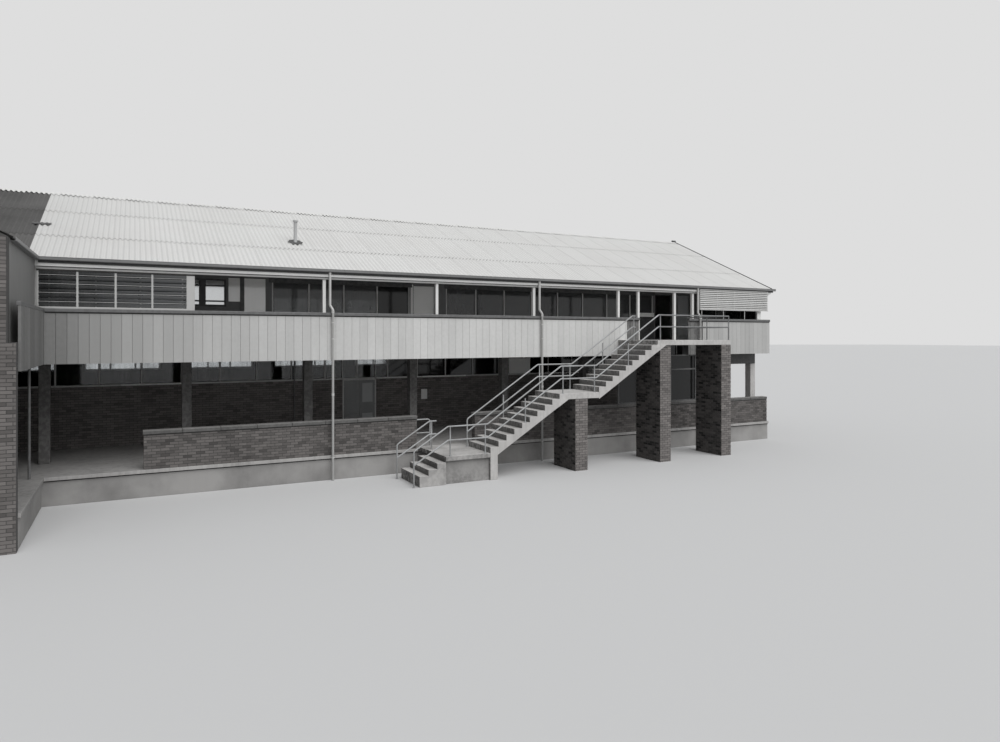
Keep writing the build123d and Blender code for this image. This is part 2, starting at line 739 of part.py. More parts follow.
def upper_rear_wall():
    front = REAR_FACE - FRAME_WALL
    section = [
        (front, UPPER_FLOOR), (REAR_FACE, UPPER_FLOOR),
        (REAR_FACE, roof_under(REAR_FACE)), (front, roof_under(front))]
    wall = across(section, PARTY_X, END_WALL_X - FRAME_WALL)
    for x0, x1, _, z0, z1, _ in upper_rear_windows():
        wall -= block(x0, x1, front, REAR_FACE, z0, z1)
    return wall


def upper_end_wall():
    """Gable wall at the right-hand end, and the part of the gable over the verandah."""
    front = VERANDAH_DEPTH
    over = UPPER_FLOOR + EAVE_HEIGHT
    section = [
        (front, UPPER_FLOOR), (REAR_FACE, UPPER_FLOOR), (REAR_FACE, roof_under(REAR_FACE)),
        (RIDGE_Y, roof_under(RIDGE_Y)), (BEAM_BACK, roof_under(BEAM_BACK)),
        (BEAM_BACK, over - CEILING), (front, over - CEILING)]
    return across(section, END_WALL_X - FRAME_WALL, END_WALL_X)


def upper_window_frames():
    frames = [light_frame(*window) for window in inner_windows() + upper_rear_windows()]
    return frames + [open_screen()]


def upper_window_glass():
    glass = []
    for window in inner_windows() + upper_rear_windows():
        glass += panes(*window)
    return glass


def louvre_opening():
    """Opening of the louvred bay, between the corner post and the board that covers the first post."""
    return (
        POST / 2, BAY + LOUVRE_BOARD_LAP - LOUVRE_END_BOARD,
        UPPER_FLOOR + BAND_TOP + CAP_HEIGHT, UPPER_FLOOR + BEAM_BOTTOM)


def louvre_frame():
    """Frame of the louvred bay, with the wide board at its right-hand end."""
    x0, x1, z0, z1 = louvre_opening()
    frame = light_frame(x0, x1, BAND_BACK, z0, z1, LOUVRE_PANELS)
    board = block(x1, x1 + LOUVRE_END_BOARD, BAND_BACK, BAND_BACK + CAP_OVERHANG, z0, z1)
    return frame + board


def louvre_blades():
    """Glass blades, tilted to shed rain, let into the jambs of each panel."""
    x0, x1, z0, z1 = louvre_opening()
    pitch = (z1 - z0 - 2 * FRAME_FACE) / LOUVRE_BLADES
    blades = []
    for left, right in light_spans(x0, x1, LOUVRE_PANELS):
        for row in range(LOUVRE_BLADES):
            z = z0 + FRAME_FACE + (row + 0.5) * pitch
            blade = Rot(LOUVRE_ANGLE, 0, 0) * Box(right - left, LOUVRE_THICKNESS, LOUVRE_CHORD)
            blades.append(Pos((left + right) / 2, BAND_BACK + FRAME_DEPTH / 2, z) * blade)
    return blades


def sunhood():
    """Slatted hood across the end bay of the verandah, in front of the posts."""
    z0 = UPPER_FLOOR + HOOD_BOTTOM
    z1 = UPPER_FLOOR + HOOD_TOP
    y1 = FASCIA_FACE
    hood = None
    for i in range(HOOD_STILES):
        x = HOOD_LEFT + POST / 2 + i * (HOOD_RIGHT - HOOD_LEFT - POST) / (HOOD_STILES - 1)
        stile = block(x - POST / 4, x + POST / 4, y1 - POST / 2, y1, z0, z1)
        hood = stile if hood is None else hood + stile
    pitch = (z1 - z0) / HOOD_SLATS
    for row in range(HOOD_SLATS):
        slat_bottom = z0 + row * pitch
        hood += block(
            HOOD_LEFT, HOOD_RIGHT, y1 - POST / 2 - SLAT_THICKNESS, y1 - POST / 2,
            slat_bottom, slat_bottom + pitch * SLAT_SHARE)
    return hood


def roof_front_new():
    """Front slope in newer, lighter sheets."""
    slope = across(slope_section(-EAVE_OVERHANG), OLD_ROOF_X, VERGE_X)
    return slope & valley_cut("main")


def slope_section(eave):
    """One slope of the roof from the eave to the ridge, drawn in Y and Z."""
    return [
        (eave, roof_under(eave)), (eave, roof_top(eave)),
        (RIDGE_Y, roof_top(RIDGE_Y)), (RIDGE_Y, roof_under(RIDGE_Y))]


def valley_cut(keep):
    """Upright block on one side of the valley line, used to trim the two slopes that meet there."""
    start = WING_EAVE_X
    reach = 2 * BAY
    corner = (start, -EAVE_OVERHANG)
    far = (start - reach, -EAVE_OVERHANG + reach)
    if keep == "main":
        outline = [corner, far, (GUTTER_END, -EAVE_OVERHANG + reach), (GUTTER_END, -EAVE_OVERHANG)]
    else:
        outline = [corner, far, (start - reach, PARTY_Y - reach), (start, PARTY_Y - reach)]
    face = make_face(Polyline(*outline, close=True))
    return Pos(0, 0, UPPER_FLOOR) * extrude(face, amount=2 * RIDGE_HEIGHT)


def roof_front_old():
    """Front slope left of the join, in older dark sheets, cut at the valley with the wing."""
    slope = across(slope_section(-EAVE_OVERHANG), PARTY_X, OLD_ROOF_X)
    return slope & valley_cut("main")


def roof_wing():
    """Slope of the wing that falls towards +X, cut at the valley and at the party walls."""
    start = WING_EAVE_X
    rise = (start - PARTY_X) * math.tan(PITCH)
    top = roof_top(-EAVE_OVERHANG)
    section = [
        (start, top - ROOF_FALL), (start, top), (PARTY_X, top + rise), (PARTY_X, top + rise - ROOF_FALL)]
    slope = along(section, PARTY_Y, BAY)
    return slope & valley_cut("wing")


def roof_rear():
    """Rear slope, one plane from the ridge to the rear eave."""
    section = [
        (REAR_EAVE, roof_under(REAR_EAVE)), (REAR_EAVE, roof_top(REAR_EAVE)),
        (RIDGE_Y, roof_top(RIDGE_Y)), (RIDGE_Y, roof_under(RIDGE_Y))]
    return across(section, PARTY_X, VERGE_X)


def ridge_cap():
    """Folded capping over the ridge."""
    top = roof_top(RIDGE_Y)
    run = RIDGE_CAP_WING * math.cos(PITCH)
    drop = run * math.tan(PITCH)
    t = RIDGE_CAP_THICKNESS
    section = [
        (RIDGE_Y - run, top - drop), (RIDGE_Y, top), (RIDGE_Y + run, top - drop),
        (RIDGE_Y + run, top - drop + t), (RIDGE_Y, top + t), (RIDGE_Y - run, top - drop + t)]
    return across(section, PARTY_X, VERGE_X)


def barge_boards():
    """Sloping boards under the verge of the right-hand gable."""
    foot = roof_under(FASCIA_FACE)
    peak = roof_under(RIDGE_Y)
    front = [
        (FASCIA_FACE, foot), (RIDGE_Y, peak),
        (RIDGE_Y, peak - BARGE_WIDTH), (FASCIA_FACE, foot - BARGE_WIDTH)]
    x0 = VERGE_X - BARGE_THICKNESS
    return across(front, x0, VERGE_X) + across(mirrored(front), x0, VERGE_X)


def vent_pipe():
    """Round vent with its collar through the front slope."""
    base = roof_top(VENT_Y)
    pipe = stake(VENT_X, VENT_Y, UPPER_FLOOR, base + VENT_HEIGHT, VENT_RADIUS)
    rim = base + VENT_HEIGHT
    cap = stake(VENT_X, VENT_Y, rim, rim + VENT_CAP_HEIGHT, VENT_CAP_RADIUS)
    below = [
        (-EAVE_OVERHANG, 0), (-EAVE_OVERHANG, roof_top(-EAVE_OVERHANG)),
        (RIDGE_Y, roof_top(RIDGE_Y)), (RIDGE_Y, 0)]
    y0 = VENT_Y - VENT_FLASHING / 2
    y1 = VENT_Y + VENT_FLASHING / 2
    skirt = [
        (y0, roof_top(y0)), (y1, roof_top(y1)),
        (y1, roof_top(y1) + FLASHING_THICKNESS), (y0, roof_top(y0) + FLASHING_THICKNESS)]
    x0 = VENT_X - VENT_FLASHING / 2
    x1 = VENT_X + VENT_FLASHING / 2
    return pipe + cap - across(below, x0, x1) + across(skirt, x0, x1)


def downpipes():
    """Round downpipes that step out below the gutter to clear the cap rail."""
    top = UPPER_FLOOR + EAVE_HEIGHT - GUTTER_HEIGHT
    jog = UPPER_FLOOR + BAND_TOP + CAP_HEIGHT
    y_high = FASCIA_FACE - PIPE_SIZE
    y_low = BOARD_FACE - CAP_OVERHANG - PIPE_SIZE
    pipes = []
    for line in PIPE_BAYS:
        x = line * BAY + PIPE_OFFSET
        points = [
            (x, y_high, top), (x, y_high, jog + 3 * PIPE_JOG),
            (x + PIPE_JOG, y_low, jog + PIPE_JOG), (x + PIPE_JOG, y_low, LOWEST_GROUND)]
        pipes.append(pipe_run(points, PIPE_SIZE, PIPE_JOG))
    return pipes


def flight(x0, z0, foot):
    """Saw-tooth flight of equal steps with a sloping soffit; foot is the lowest level of its end."""
    points = [(x0, foot)]
    for step in range(FLIGHT_RISERS):
        points.append((x0 + step * GOING, z0 + step * RISER))
        points.append((x0 + step * GOING, z0 + (step + 1) * RISER))
    x1 = x0 + (FLIGHT_RISERS - 1) * GOING
    points.append((x1, z0 + (FLIGHT_RISERS - 1) * RISER - WAIST_DROP))
    return points


def lower_flight():
    """Lower flight, cast down to the ground at its foot."""
    x0 = LOWER_FLIGHT_X
    z0 = LOWER_LANDING_LEVEL
    slope = RISER / GOING
    points = flight(x0, z0, LOWEST_GROUND)
    points.append((x0 + FLIGHT_FOOT, z0 + FLIGHT_FOOT * slope - WAIST_DROP))
    points.append((x0 + FLIGHT_FOOT, LOWEST_GROUND))
    return along(points, STAIR_OUTER, STAIR_INNER)


def upper_flight():
    x0 = UPPER_FLIGHT_X
    z0 = MIDDLE_LANDING_LEVEL
    return along(flight(x0, z0, z0 - WAIST_DROP), STAIR_OUTER, STAIR_INNER)


def bottom_steps():
    """Solid steps from the ground to the lower landing."""
    points = [(STAIR_FOOT, LOWEST_GROUND)]
    for step in range(FOOT_RISERS):
        if step:
            points.append((STAIR_FOOT + step * GOING, step * RISER))
        points.append((STAIR_FOOT + step * GOING, (step + 1) * RISER))
    points.append((LOWER_LANDING_X, LOWEST_GROUND))
    return along(points, STAIR_OUTER, STAIR_INNER)


def lower_landing():
    """Lower landing slab that overhangs its recessed base."""
    level = LOWER_LANDING_LEVEL
    slab = block(
        LOWER_LANDING_X, LOWER_FLIGHT_X, STAIR_OUTER, STAIR_INNER, level - LOWER_LANDING_SLAB, level)
    base = block(
        LOWER_LANDING_X, LOWER_FLIGHT_X,
        STAIR_OUTER + LOWER_LANDING_BASE_INSET, STAIR_INNER - LOWER_LANDING_BASE_INSET,
        LOWEST_GROUND, level - LOWER_LANDING_SLAB)
    bridge = block(
        LOW_WALL_GAP_LEFT + COPING_OVERHANG, LOWER_FLIGHT_X, STAIR_INNER, SLAB_FRONT - LEDGE_PROJECTION,
        level - LOWER_LANDING_SLAB, level)
    return slab + base + bridge


def middle_landing():
    level = MIDDLE_LANDING_LEVEL
    return block(
        MIDDLE_LANDING_X, UPPER_FLIGHT_X, STAIR_OUTER, STAIR_INNER, level - MIDDLE_LANDING_SLAB, level)


def top_landing():
    """Top landing with the threshold that joins it to the verandah floor."""
    level = UPPER_FLOOR
    slab = block(TOP_LANDING_X, TOP_LANDING_END, STAIR_OUTER, BOARD_FACE, level - TOP_LANDING_SLAB, level)
    threshold = block(
        OPENING_LEFT, TOP_LANDING_END, BOARD_FACE, SLAB_FRONT, level - TOP_LANDING_SLAB, level)
    return slab + threshold


def stair_piers():
    """Brick blade piers under the middle and top landings."""
    middle_x = MIDDLE_LANDING_X + MIDDLE_PIER_SETBACK
    left_x = TOP_LANDING_X + LEFT_PIER_SETBACK
    right_x = TOP_LANDING_END - PIER_WIDTH
    middle_top = MIDDLE_LANDING_LEVEL - MIDDLE_LANDING_SLAB
    top = UPPER_FLOOR - TOP_LANDING_SLAB
    return [
        block(x, x + PIER_WIDTH, STAIR_OUTER, PIER_BACK, LOWEST_GROUND, z)
        for x, z in ((middle_x, middle_top), (left_x, top), (right_x, top))]


def rail_turns(height):
    """Turning points of a rail at one height over the steps, from the stair foot to the top landing."""
    return [
        (LOWER_LANDING_X + NEWEL_LEAD / 2, LOWER_LANDING_LEVEL + height),
        (LOWER_FLIGHT_X - NEWEL_LEAD / 2, LOWER_LANDING_LEVEL + height),
        (MIDDLE_LANDING_X + NEWEL_LEAD / 2, MIDDLE_LANDING_LEVEL + height),
        (UPPER_FLIGHT_X - NEWEL_LEAD / 2, MIDDLE_LANDING_LEVEL + height),
        (TOP_LANDING_X + NEWEL_LEAD / 2, UPPER_FLOOR + height)]


def slope_foot(height):
    """Point where the lowest sloping rail meets the newel at the stair foot."""
    x, z = rail_turns(height)[0]
    newel = STAIR_FOOT - NEWEL_LEAD
    return newel, z - (x - newel) * RISER / GOING


def rail_piece(points, y):
    """A rail in an upright plane along the stair."""
    return pipe_run([(x, y, z) for x, z in points], PIPE_RADIUS, RAIL_BEND)


def uprights(turns, y, first):
    """Posts that carry a rail, each set back from a bend on to the level stretch beside it."""
    levels = [LOWER_LANDING_LEVEL] * 2 + [MIDDLE_LANDING_LEVEL] * 2 + [UPPER_FLOOR]
    posts = []
    for number, ((x, z), level) in enumerate(zip(turns, levels)):
        side = UPRIGHT_SETBACK if number % 2 == 0 else -UPRIGHT_SETBACK
        if number >= first:
            posts.append(stake(x + side, y, level, z, UPRIGHT_RADIUS))
    return posts


def flight_upright(x0, z0, y):
    """Post half way up a flight, standing on the tread below it."""
    step = FLIGHT_RISERS // 2
    x = x0 + (step - 0.5) * GOING
    nose = z0 + (x + GOING / 2 - x0 + NEWEL_LEAD / 2) * RISER / GOING
    return stake(x, y, z0 + step * RISER, nose + RAIL_HEIGHT - RISER, UPRIGHT_RADIUS)


def outer_handrail():
    """Two-rail pipe handrail along the open side, from the stair foot to the end of the top landing."""
    y = STAIR_OUTER + RAIL_INSET
    newel, foot = slope_foot(RAIL_HEIGHT)
    end = TOP_LANDING_END - RAIL_INSET
    turns = rail_turns(RAIL_HEIGHT)
    top_run = [(newel, LOWEST_GROUND), (newel, foot)] + turns + [(end, UPPER_FLOOR + RAIL_HEIGHT)]
    rail = rail_piece(top_run, y)
    mid_run = [slope_foot(MID_RAIL_HEIGHT)] + rail_turns(MID_RAIL_HEIGHT)
    rail += rail_piece(mid_run + [(end, UPPER_FLOOR + MID_RAIL_HEIGHT)], y)
    for post in uprights(turns, y, 0):
        rail += post
    rail += flight_upright(LOWER_FLIGHT_X, LOWER_LANDING_LEVEL, y)
    rail += flight_upright(UPPER_FLIGHT_X, MIDDLE_LANDING_LEVEL, y)
    return rail + stake(end, y, UPPER_FLOOR, UPPER_FLOOR + RAIL_HEIGHT, UPRIGHT_RADIUS)


def landing_end_rail():
    """Return of the handrail across the end of the top landing to the band."""
    x = TOP_LANDING_END - RAIL_INSET
    y0 = STAIR_OUTER + RAIL_INSET + PIPE_RADIUS
    middle = (y0 + BOARD_FACE) / 2
    rail = stake(x, middle, UPPER_FLOOR, UPPER_FLOOR + RAIL_HEIGHT, UPRIGHT_RADIUS)
    bar = Rot(90, 0, 0) * Cylinder(PIPE_RADIUS, BOARD_FACE - y0)
    for height in (RAIL_HEIGHT, MID_RAIL_HEIGHT):
        rail += Pos(x, middle, UPPER_FLOOR + height) * bar
    return rail


def gap_rail():
    """Short two-bar rail that closes part of the gap in the low wall, from the wall's end to a post."""
    y = SLAB_FRONT + BRICK_WALL / 2
    x0 = LOW_WALL_GAP_LEFT
    post = x0 + GAP_RAIL
    top = GROUND_FLOOR + GAP_RAIL_HEIGHT
    rail = rail_piece([(x0, top), (post, top), (post, GROUND_FLOOR)], y)
    low = GROUND_FLOOR + MID_RAIL_HEIGHT
    bar = Pos((x0 + post) / 2, y, low) * Rot(0, 90, 0) * Cylinder(UPRIGHT_RADIUS, GAP_RAIL)
    return rail + bar


def inner_foot_rail():
    """Short handrail beside the bottom steps, on the side towards the building."""
    y = STAIR_INNER - RAIL_INSET
    newel, foot = slope_foot(RAIL_HEIGHT)
    turns = rail_turns(RAIL_HEIGHT)
    turn_x, turn_z = turns[0]
    end = turn_x + UPRIGHT_SETBACK + NEWEL_LEAD
    rail = rail_piece([(newel, LOWEST_GROUND), (newel, foot), (turn_x, turn_z), (end, turn_z)], y)
    low_x, low_z = rail_turns(MID_RAIL_HEIGHT)[0]
    rail += rail_piece([slope_foot(MID_RAIL_HEIGHT), (low_x, low_z), (end, low_z)], y)
    return rail + uprights(turns[:1], y, 0)[0]


def inner_handrail():
    """Pipe handrail on the building side of the two flights."""
    y = STAIR_INNER - RAIL_INSET
    turns = rail_turns(RAIL_HEIGHT)
    head = (TOP_LANDING_X + NEWEL_LEAD / 2 + 2 * UPRIGHT_SETBACK, UPPER_FLOOR)
    newel = turns[1][0]
    rail = rail_piece([(newel, LOWER_LANDING_LEVEL)] + turns[1:] + [(head[0], head[1] + RAIL_HEIGHT)], y)
    low_turns = rail_turns(MID_RAIL_HEIGHT)[1:]
    rail += rail_piece(low_turns + [(head[0], head[1] + MID_RAIL_HEIGHT)], y)
    for post in uprights(turns, y, 2):
        rail += post
    rail += flight_upright(LOWER_FLIGHT_X, LOWER_LANDING_LEVEL, y)
    return rail + flight_upright(UPPER_FLIGHT_X, MIDDLE_LANDING_LEVEL, y)


NODES = {
    "plinth": plinth,
    "ground_slab": ground_slab,
    "low_walls": low_walls,
    "low_wall_copings": low_wall_copings,
    "ground_columns": ground_columns,
    "end_column": end_column,
    "end_beam": end_beam,
    "ground_front_wall": ground_front_wall,
    "ground_rear_wall": ground_rear_wall,
    "ground_end_wall": ground_end_wall,
    "ground_window_frames": ground_window_frames,
    "ground_window_glass": ground_window_glass,
    "door_frame": door_frame,
    "door_leaf_left": lambda: door_leaf(-1),
    "door_leaf_right": right_leaf,
    "party_walls": party_walls,
    "upper_slab": upper_slab,
    "band_front": band_front,
    "old_band_panels": old_band_panels,
    "band_returns": band_returns,
    "cap_rail_front": cap_rail_front,
    "cap_rail_returns": cap_rail_returns,
    "verandah_posts": verandah_posts,
    "eave_beam": eave_beam,
    "wing_wall_panel": wing_wall_panel,
    "fascia": fascia,
    "gutters": gutters,
    "verandah_ceiling": verandah_ceiling,
    "inner_wall": inner_wall,
    "classroom_doors": classroom_doors,
    "upper_rear_wall": upper_rear_wall,
    "upper_end_wall": upper_end_wall,
    "upper_window_frames": upper_window_frames,
    "upper_window_glass": upper_window_glass,
    "louvre_frame": louvre_frame,
    "louvre_blades": louvre_blades,
    "sunhood": sunhood,
    "roof_front_new": roof_front_new,
    "roof_front_old": roof_front_old,
    "roof_wing": roof_wing,
    "roof_rear": roof_rear,
    "ridge_cap": ridge_cap,
    "barge_boards": barge_boards,
    "vent_pipe": vent_pipe,
    "downpipes": downpipes,
    "bottom_steps": bottom_steps,
    "lower_landing": lower_landing,
    "lower_flight": lower_flight,
    "middle_landing": middle_landing,
    "upper_flight": upper_flight,
    "top_landing": top_landing,
    "stair_piers": stair_piers,
    "outer_handrail": outer_handrail,
    "landing_end_rail": landing_end_rail,
    "inner_foot_rail": inner_foot_rail,
    "gap_rail": gap_rail,
    "inner_handrail": inner_handrail,
}


def solids_of(piece):
    """Every solid of a piece, whether it was made as one shape or as a list of shapes."""
    shapes = piece if isinstance(piece, list) else [piece]
    return [solid for shape in shapes for solid in shape.solids()]


def main():
    os.makedirs("parts", exist_ok=True)
    pieces = {name: Compound(solids_of(make())) for name, make in NODES.items()}
    box = Compound(list(pieces.values())).bounding_box()
    origin = Pos(-(box.min.X + box.max.X) / 2, -(box.min.Y + box.max.Y) / 2, -box.min.Z)
    for name, piece in pieces.items():
        export_step(origin * piece, f"parts/{name}.step")
    print("origin at", box.min.X + box.size.X / 2, box.min.Y + box.size.Y / 2, box.min.Z)
    print("size", box.size)


main()
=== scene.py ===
# %% [markdown]
# # A school block with an open verandah and an outside stair
#
# The real building is a long two-storey block: brick and concrete below, painted boards
# above, a corrugated roof, and a concrete saw-tooth stair with bent pipe handrails.
# The engineering model gives every part its exact place. This script keeps those parts,
# or puts a finer piece in the place of one, and never moves any of them.

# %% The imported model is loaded
import math
import random

import bmesh
import bpy
from mathutils import Matrix, Vector


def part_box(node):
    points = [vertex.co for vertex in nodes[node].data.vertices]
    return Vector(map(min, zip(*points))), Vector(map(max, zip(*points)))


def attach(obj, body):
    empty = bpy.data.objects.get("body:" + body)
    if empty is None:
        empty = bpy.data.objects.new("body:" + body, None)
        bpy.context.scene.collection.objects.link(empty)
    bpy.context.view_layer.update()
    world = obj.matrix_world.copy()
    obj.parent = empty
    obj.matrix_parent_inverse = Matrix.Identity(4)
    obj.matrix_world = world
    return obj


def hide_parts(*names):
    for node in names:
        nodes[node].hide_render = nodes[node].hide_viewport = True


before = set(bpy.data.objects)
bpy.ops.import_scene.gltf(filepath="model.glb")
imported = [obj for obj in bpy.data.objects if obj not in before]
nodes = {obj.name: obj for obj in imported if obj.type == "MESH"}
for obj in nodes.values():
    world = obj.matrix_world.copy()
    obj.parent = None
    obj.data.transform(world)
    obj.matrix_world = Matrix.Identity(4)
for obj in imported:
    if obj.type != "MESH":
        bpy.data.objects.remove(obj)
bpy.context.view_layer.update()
random.seed(41)

# %% [markdown]
# A builder sets out from lines: the first verandah post is X = 0, the outer face of the
# balustrade boards is Y = 0, and the foot of the stair is Z = 0. Pieces are modelled in
# these setting-out metres and moved once, at the end, into the frame of the model.
# The three lines are read from the parts themselves, so nothing has to be fitted.

# %% Setting-out lines
POST = 0.100
GROUND = -0.150
ORIGIN = Vector((
    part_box("verandah_posts")[0].x + POST / 2,
    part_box("band_front")[0].y,
    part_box("plinth")[0].z - GROUND))


def reach(node):
    """Lowest and highest corner of a node, in setting-out metres."""
    low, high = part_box(node)
    return low - ORIGIN, high - ORIGIN


BAY = 3.965
BAYS = 7
UPPER_FLOOR = reach("upper_slab")[1].z
GROUND_FLOOR = reach("ground_slab")[1].z
CEILING = reach("upper_slab")[0].z
PARTY_X = -BAY
END_X = reach("plinth")[1].x
print("floors at", round(GROUND_FLOOR, 3), round(UPPER_FLOOR, 3), "end wall at", round(END_X, 3))

# %% [markdown]
# The photograph was taken from in front of the left half, from a little above the upper
# floor, with the camera level and turned to the right. A level camera keeps upright lines
# upright, and a small lens shift gives the picture its framing.

# %% Camera
camera = bpy.data.objects.new("camera", bpy.data.cameras.new("camera"))
bpy.context.scene.collection.objects.link(camera)
camera.data.sensor_width = 36.0
camera.data.lens = 23.88
camera.data.shift_x = 0.048
camera.data.shift_y = -0.034
camera.data.clip_end = 400.0
camera.location = (-9.7525, -24.735, 4.591)
camera.rotation_euler = (math.radians(90), 0.0, math.radians(-25.54))
bpy.context.scene.camera = camera
print("camera", tuple(round(c, 2) for c in camera.location))

# %% [markdown]
# The day is overcast, so most of the light comes from the whole sky, and a plain world
# colour gives it. Seen directly, that sky would be too dark behind the roof. Light Path
# therefore gives the camera, and mirrors and glass, a plain pale sky that adds no light.

# %% Sky
SKY_SEEN = (0.73, 0.73, 0.73, 1.0)
SKY_LIGHT = (0.96, 0.98, 1.0, 1.0)
SKY_STRENGTH = 0.52
world = bpy.data.worlds.new("overcast")
world.use_nodes = True
bpy.context.scene.world = world
bpy.context.scene.view_settings.view_transform = "Standard"


def wire(tree, source, sink):
    """Joins two sockets."""
    tree.links.new(source, sink)


def seen_directly(tree):
    """1 for camera, mirror and glass rays, from the Light Path node."""
    path = tree.nodes.new("ShaderNodeLightPath")
    total = path.outputs["Is Camera Ray"]
    for name in ("Is Glossy Ray", "Is Transmission Ray"):
        both = tree.nodes.new("ShaderNodeMath")
        both.operation = "MAXIMUM"
        wire(tree, total, both.inputs[0])
        wire(tree, path.outputs[name], both.inputs[1])
        total = both.outputs[0]
    return total


sky = world.node_tree
sky.nodes.clear()
lighting = sky.nodes.new("ShaderNodeBackground")
lighting.inputs["Color"].default_value = SKY_LIGHT
lighting.inputs["Strength"].default_value = SKY_STRENGTH
backdrop = sky.nodes.new("ShaderNodeBackground")
backdrop.inputs["Color"].default_value = SKY_SEEN
choice = sky.nodes.new("ShaderNodeMixShader")
sky_out = sky.nodes.new("ShaderNodeOutputWorld")
wire(sky, seen_directly(sky), choice.inputs[0])
wire(sky, lighting.outputs[0], choice.inputs[1])
wire(sky, backdrop.outputs[0], choice.inputs[2])
wire(sky, choice.outputs[0], sky_out.inputs[0])
print("the sky lights with strength", SKY_STRENGTH)

# %% [markdown]
# A soft brighter part of the sky stands high in front of the building, to the right. A lamp
# would have to be huge and far away to light thirty metres of wall evenly. A sun does that
# by nature, and a very wide angle gives its shadows soft edges.

# %% Soft sun
sun = bpy.data.objects.new("soft_sun", bpy.data.lights.new("soft_sun", "SUN"))
bpy.context.scene.collection.objects.link(sun)
sun.data.energy = 2.1
sun.data.angle = math.radians(55)
sun.rotation_euler = Vector((0.18, -0.68, 0.95)).to_track_quat("Z", "Y").to_euler()
print("the sun is", round(math.degrees(sun.data.angle)), "degrees wide")

# %% [markdown]
# A material is a tree of small nodes. Placed one by one, the same few lines would come
# back for every finish, so four short helpers place what is used most: an empty group, a
# sum, noise in metres, and a change of contrast.

# %% Helpers for node trees
def new_group(name, inputs, outputs):
    """An empty shader group with its sockets, its input node and its output node."""
    group = bpy.data.node_groups.new(name, "ShaderNodeTree")
    for title, kind, value in inputs:
        socket = group.interface.new_socket(title, in_out="INPUT", socket_type=kind)
        socket.default_value = value
    for title, kind in outputs:
        group.interface.new_socket(title, in_out="OUTPUT", socket_type=kind)
    return group, group.nodes.new("NodeGroupInput"), group.nodes.new("NodeGroupOutput")


def math_node(tree, operation, first, second=None, clamp=False):
    """A Math node; each of its inputs is a socket or a number."""
    node = tree.nodes.new("ShaderNodeMath")
    node.operation = operation
    node.use_clamp = clamp
    for i, value in enumerate((first, second)):
        if value is None:
            continue
        if isinstance(value, (int, float)):
            node.inputs[i].default_value = value
        else:
            wire(tree, value, node.inputs[i])
    return node.outputs[0]


def object_noise(tree, stretch, scale, detail=4.0, roughness=0.55):
    """Noise in object metres, stretched along the axes where `stretch` is small."""
    place = tree.nodes.new("ShaderNodeTexCoord")
    mapping = tree.nodes.new("ShaderNodeMapping")
    mapping.inputs["Scale"].default_value = stretch
    noise = tree.nodes.new("ShaderNodeTexNoise")
    noise.inputs["Detail"].default_value = detail
    noise.inputs["Roughness"].default_value = roughness
    wire(tree, place.outputs["Object"], mapping.inputs["Vector"])
    wire(tree, mapping.outputs[0], noise.inputs["Vector"])
    if isinstance(scale, (int, float)):
        noise.inputs["Scale"].default_value = scale
    else:
        wire(tree, scale, noise.inputs["Scale"])
    return noise.outputs["Fac"]


def contrast(tree, value, low, high):
    """Stretches a value so that low becomes 0 and high becomes 1, and no further."""
    ranged = tree.nodes.new("ShaderNodeMapRange")
    ranged.inputs["From Min"].default_value = low
    ranged.inputs["From Max"].default_value = high
    wire(tree, value, ranged.inputs["Value"])
    return ranged.outputs["Result"]


print("helpers for node trees are ready")

# %% [markdown]
# Every finish on a building outdoors carries the weather: rain leaves streaks that run
# down, and damp leaves soft patches. Both are noise in metres, stretched upright for the
# streaks. They are put together in one node group, so each finish can ask for its own
# share of either.

# %% Group: weathering
FLOAT = "NodeSocketFloat"
weathering, asked, given = new_group(
    "weathering", [("Scale", FLOAT, 1.0), ("Streaks", FLOAT, 0.3), ("Patches", FLOAT, 0.3)],
    [("Mask", FLOAT)])
upright_noise = object_noise(weathering, (7.0, 7.0, 0.35), asked.outputs["Scale"])
runs = contrast(weathering, upright_noise, 0.45, 0.75)
round_noise = object_noise(weathering, (0.6, 0.6, 0.6), asked.outputs["Scale"], 6.0)
damp = contrast(weathering, round_noise, 0.40, 0.70)
streaked = math_node(weathering, "MULTIPLY", runs, asked.outputs["Streaks"])
patched = math_node(weathering, "MULTIPLY", damp, asked.outputs["Patches"])
together = math_node(weathering, "ADD", streaked, patched, clamp=True)
wire(weathering, together, given.inputs["Mask"])
print("group:", weathering.name)

# %% [markdown]
# Cast concrete, render, brick and brushed paint all have a fine surface of their own.
# One group gives that height at any grain size, and mixes round grains with long ones that
# stand upright like brush marks. It only puts out a value, and the Bump node stays in each
# material, where its strength can differ.

# %% Group: grain
grain, asked, given = new_group(
    "grain", [("Scale", FLOAT, 40.0), ("Along", FLOAT, 1.0)], [("Height", FLOAT)])
round_grain = object_noise(grain, (1.0, 1.0, 1.0), asked.outputs["Scale"], 3.0, 0.6)
long_grain = object_noise(grain, (1.0, 1.0, 0.06), asked.outputs["Scale"], 3.0, 0.6)
rest_of = math_node(grain, "SUBTRACT", 1.0, asked.outputs["Along"])
first_half = math_node(grain, "MULTIPLY", round_grain, asked.outputs["Along"])
second_half = math_node(grain, "MULTIPLY", long_grain, rest_of)
wire(grain, math_node(grain, "ADD", first_half, second_half), given.inputs["Height"])
print("group:", grain.name)

# %% [markdown]
# No two bricks, boards or sheets have quite the same colour. Each one gets a random number
# when it is modelled, kept in a face attribute called tone, and this group turns it into
# a brightness around 1. A piece without that attribute reads 0, so 0 means "no change".

# %% Group: piece tone
piece_tone, asked, given = new_group("piece_tone", [("Spread", FLOAT, 0.3)], [("Bright", FLOAT)])
tone = piece_tone.nodes.new("ShaderNodeAttribute")
tone.attribute_name = "tone"
spread = math_node(piece_tone, "MULTIPLY", tone.outputs["Fac"], asked.outputs["Spread"])
wire(piece_tone, math_node(piece_tone, "ADD", spread, 1.0), given.inputs["Bright"])
print("group:", piece_tone.name)

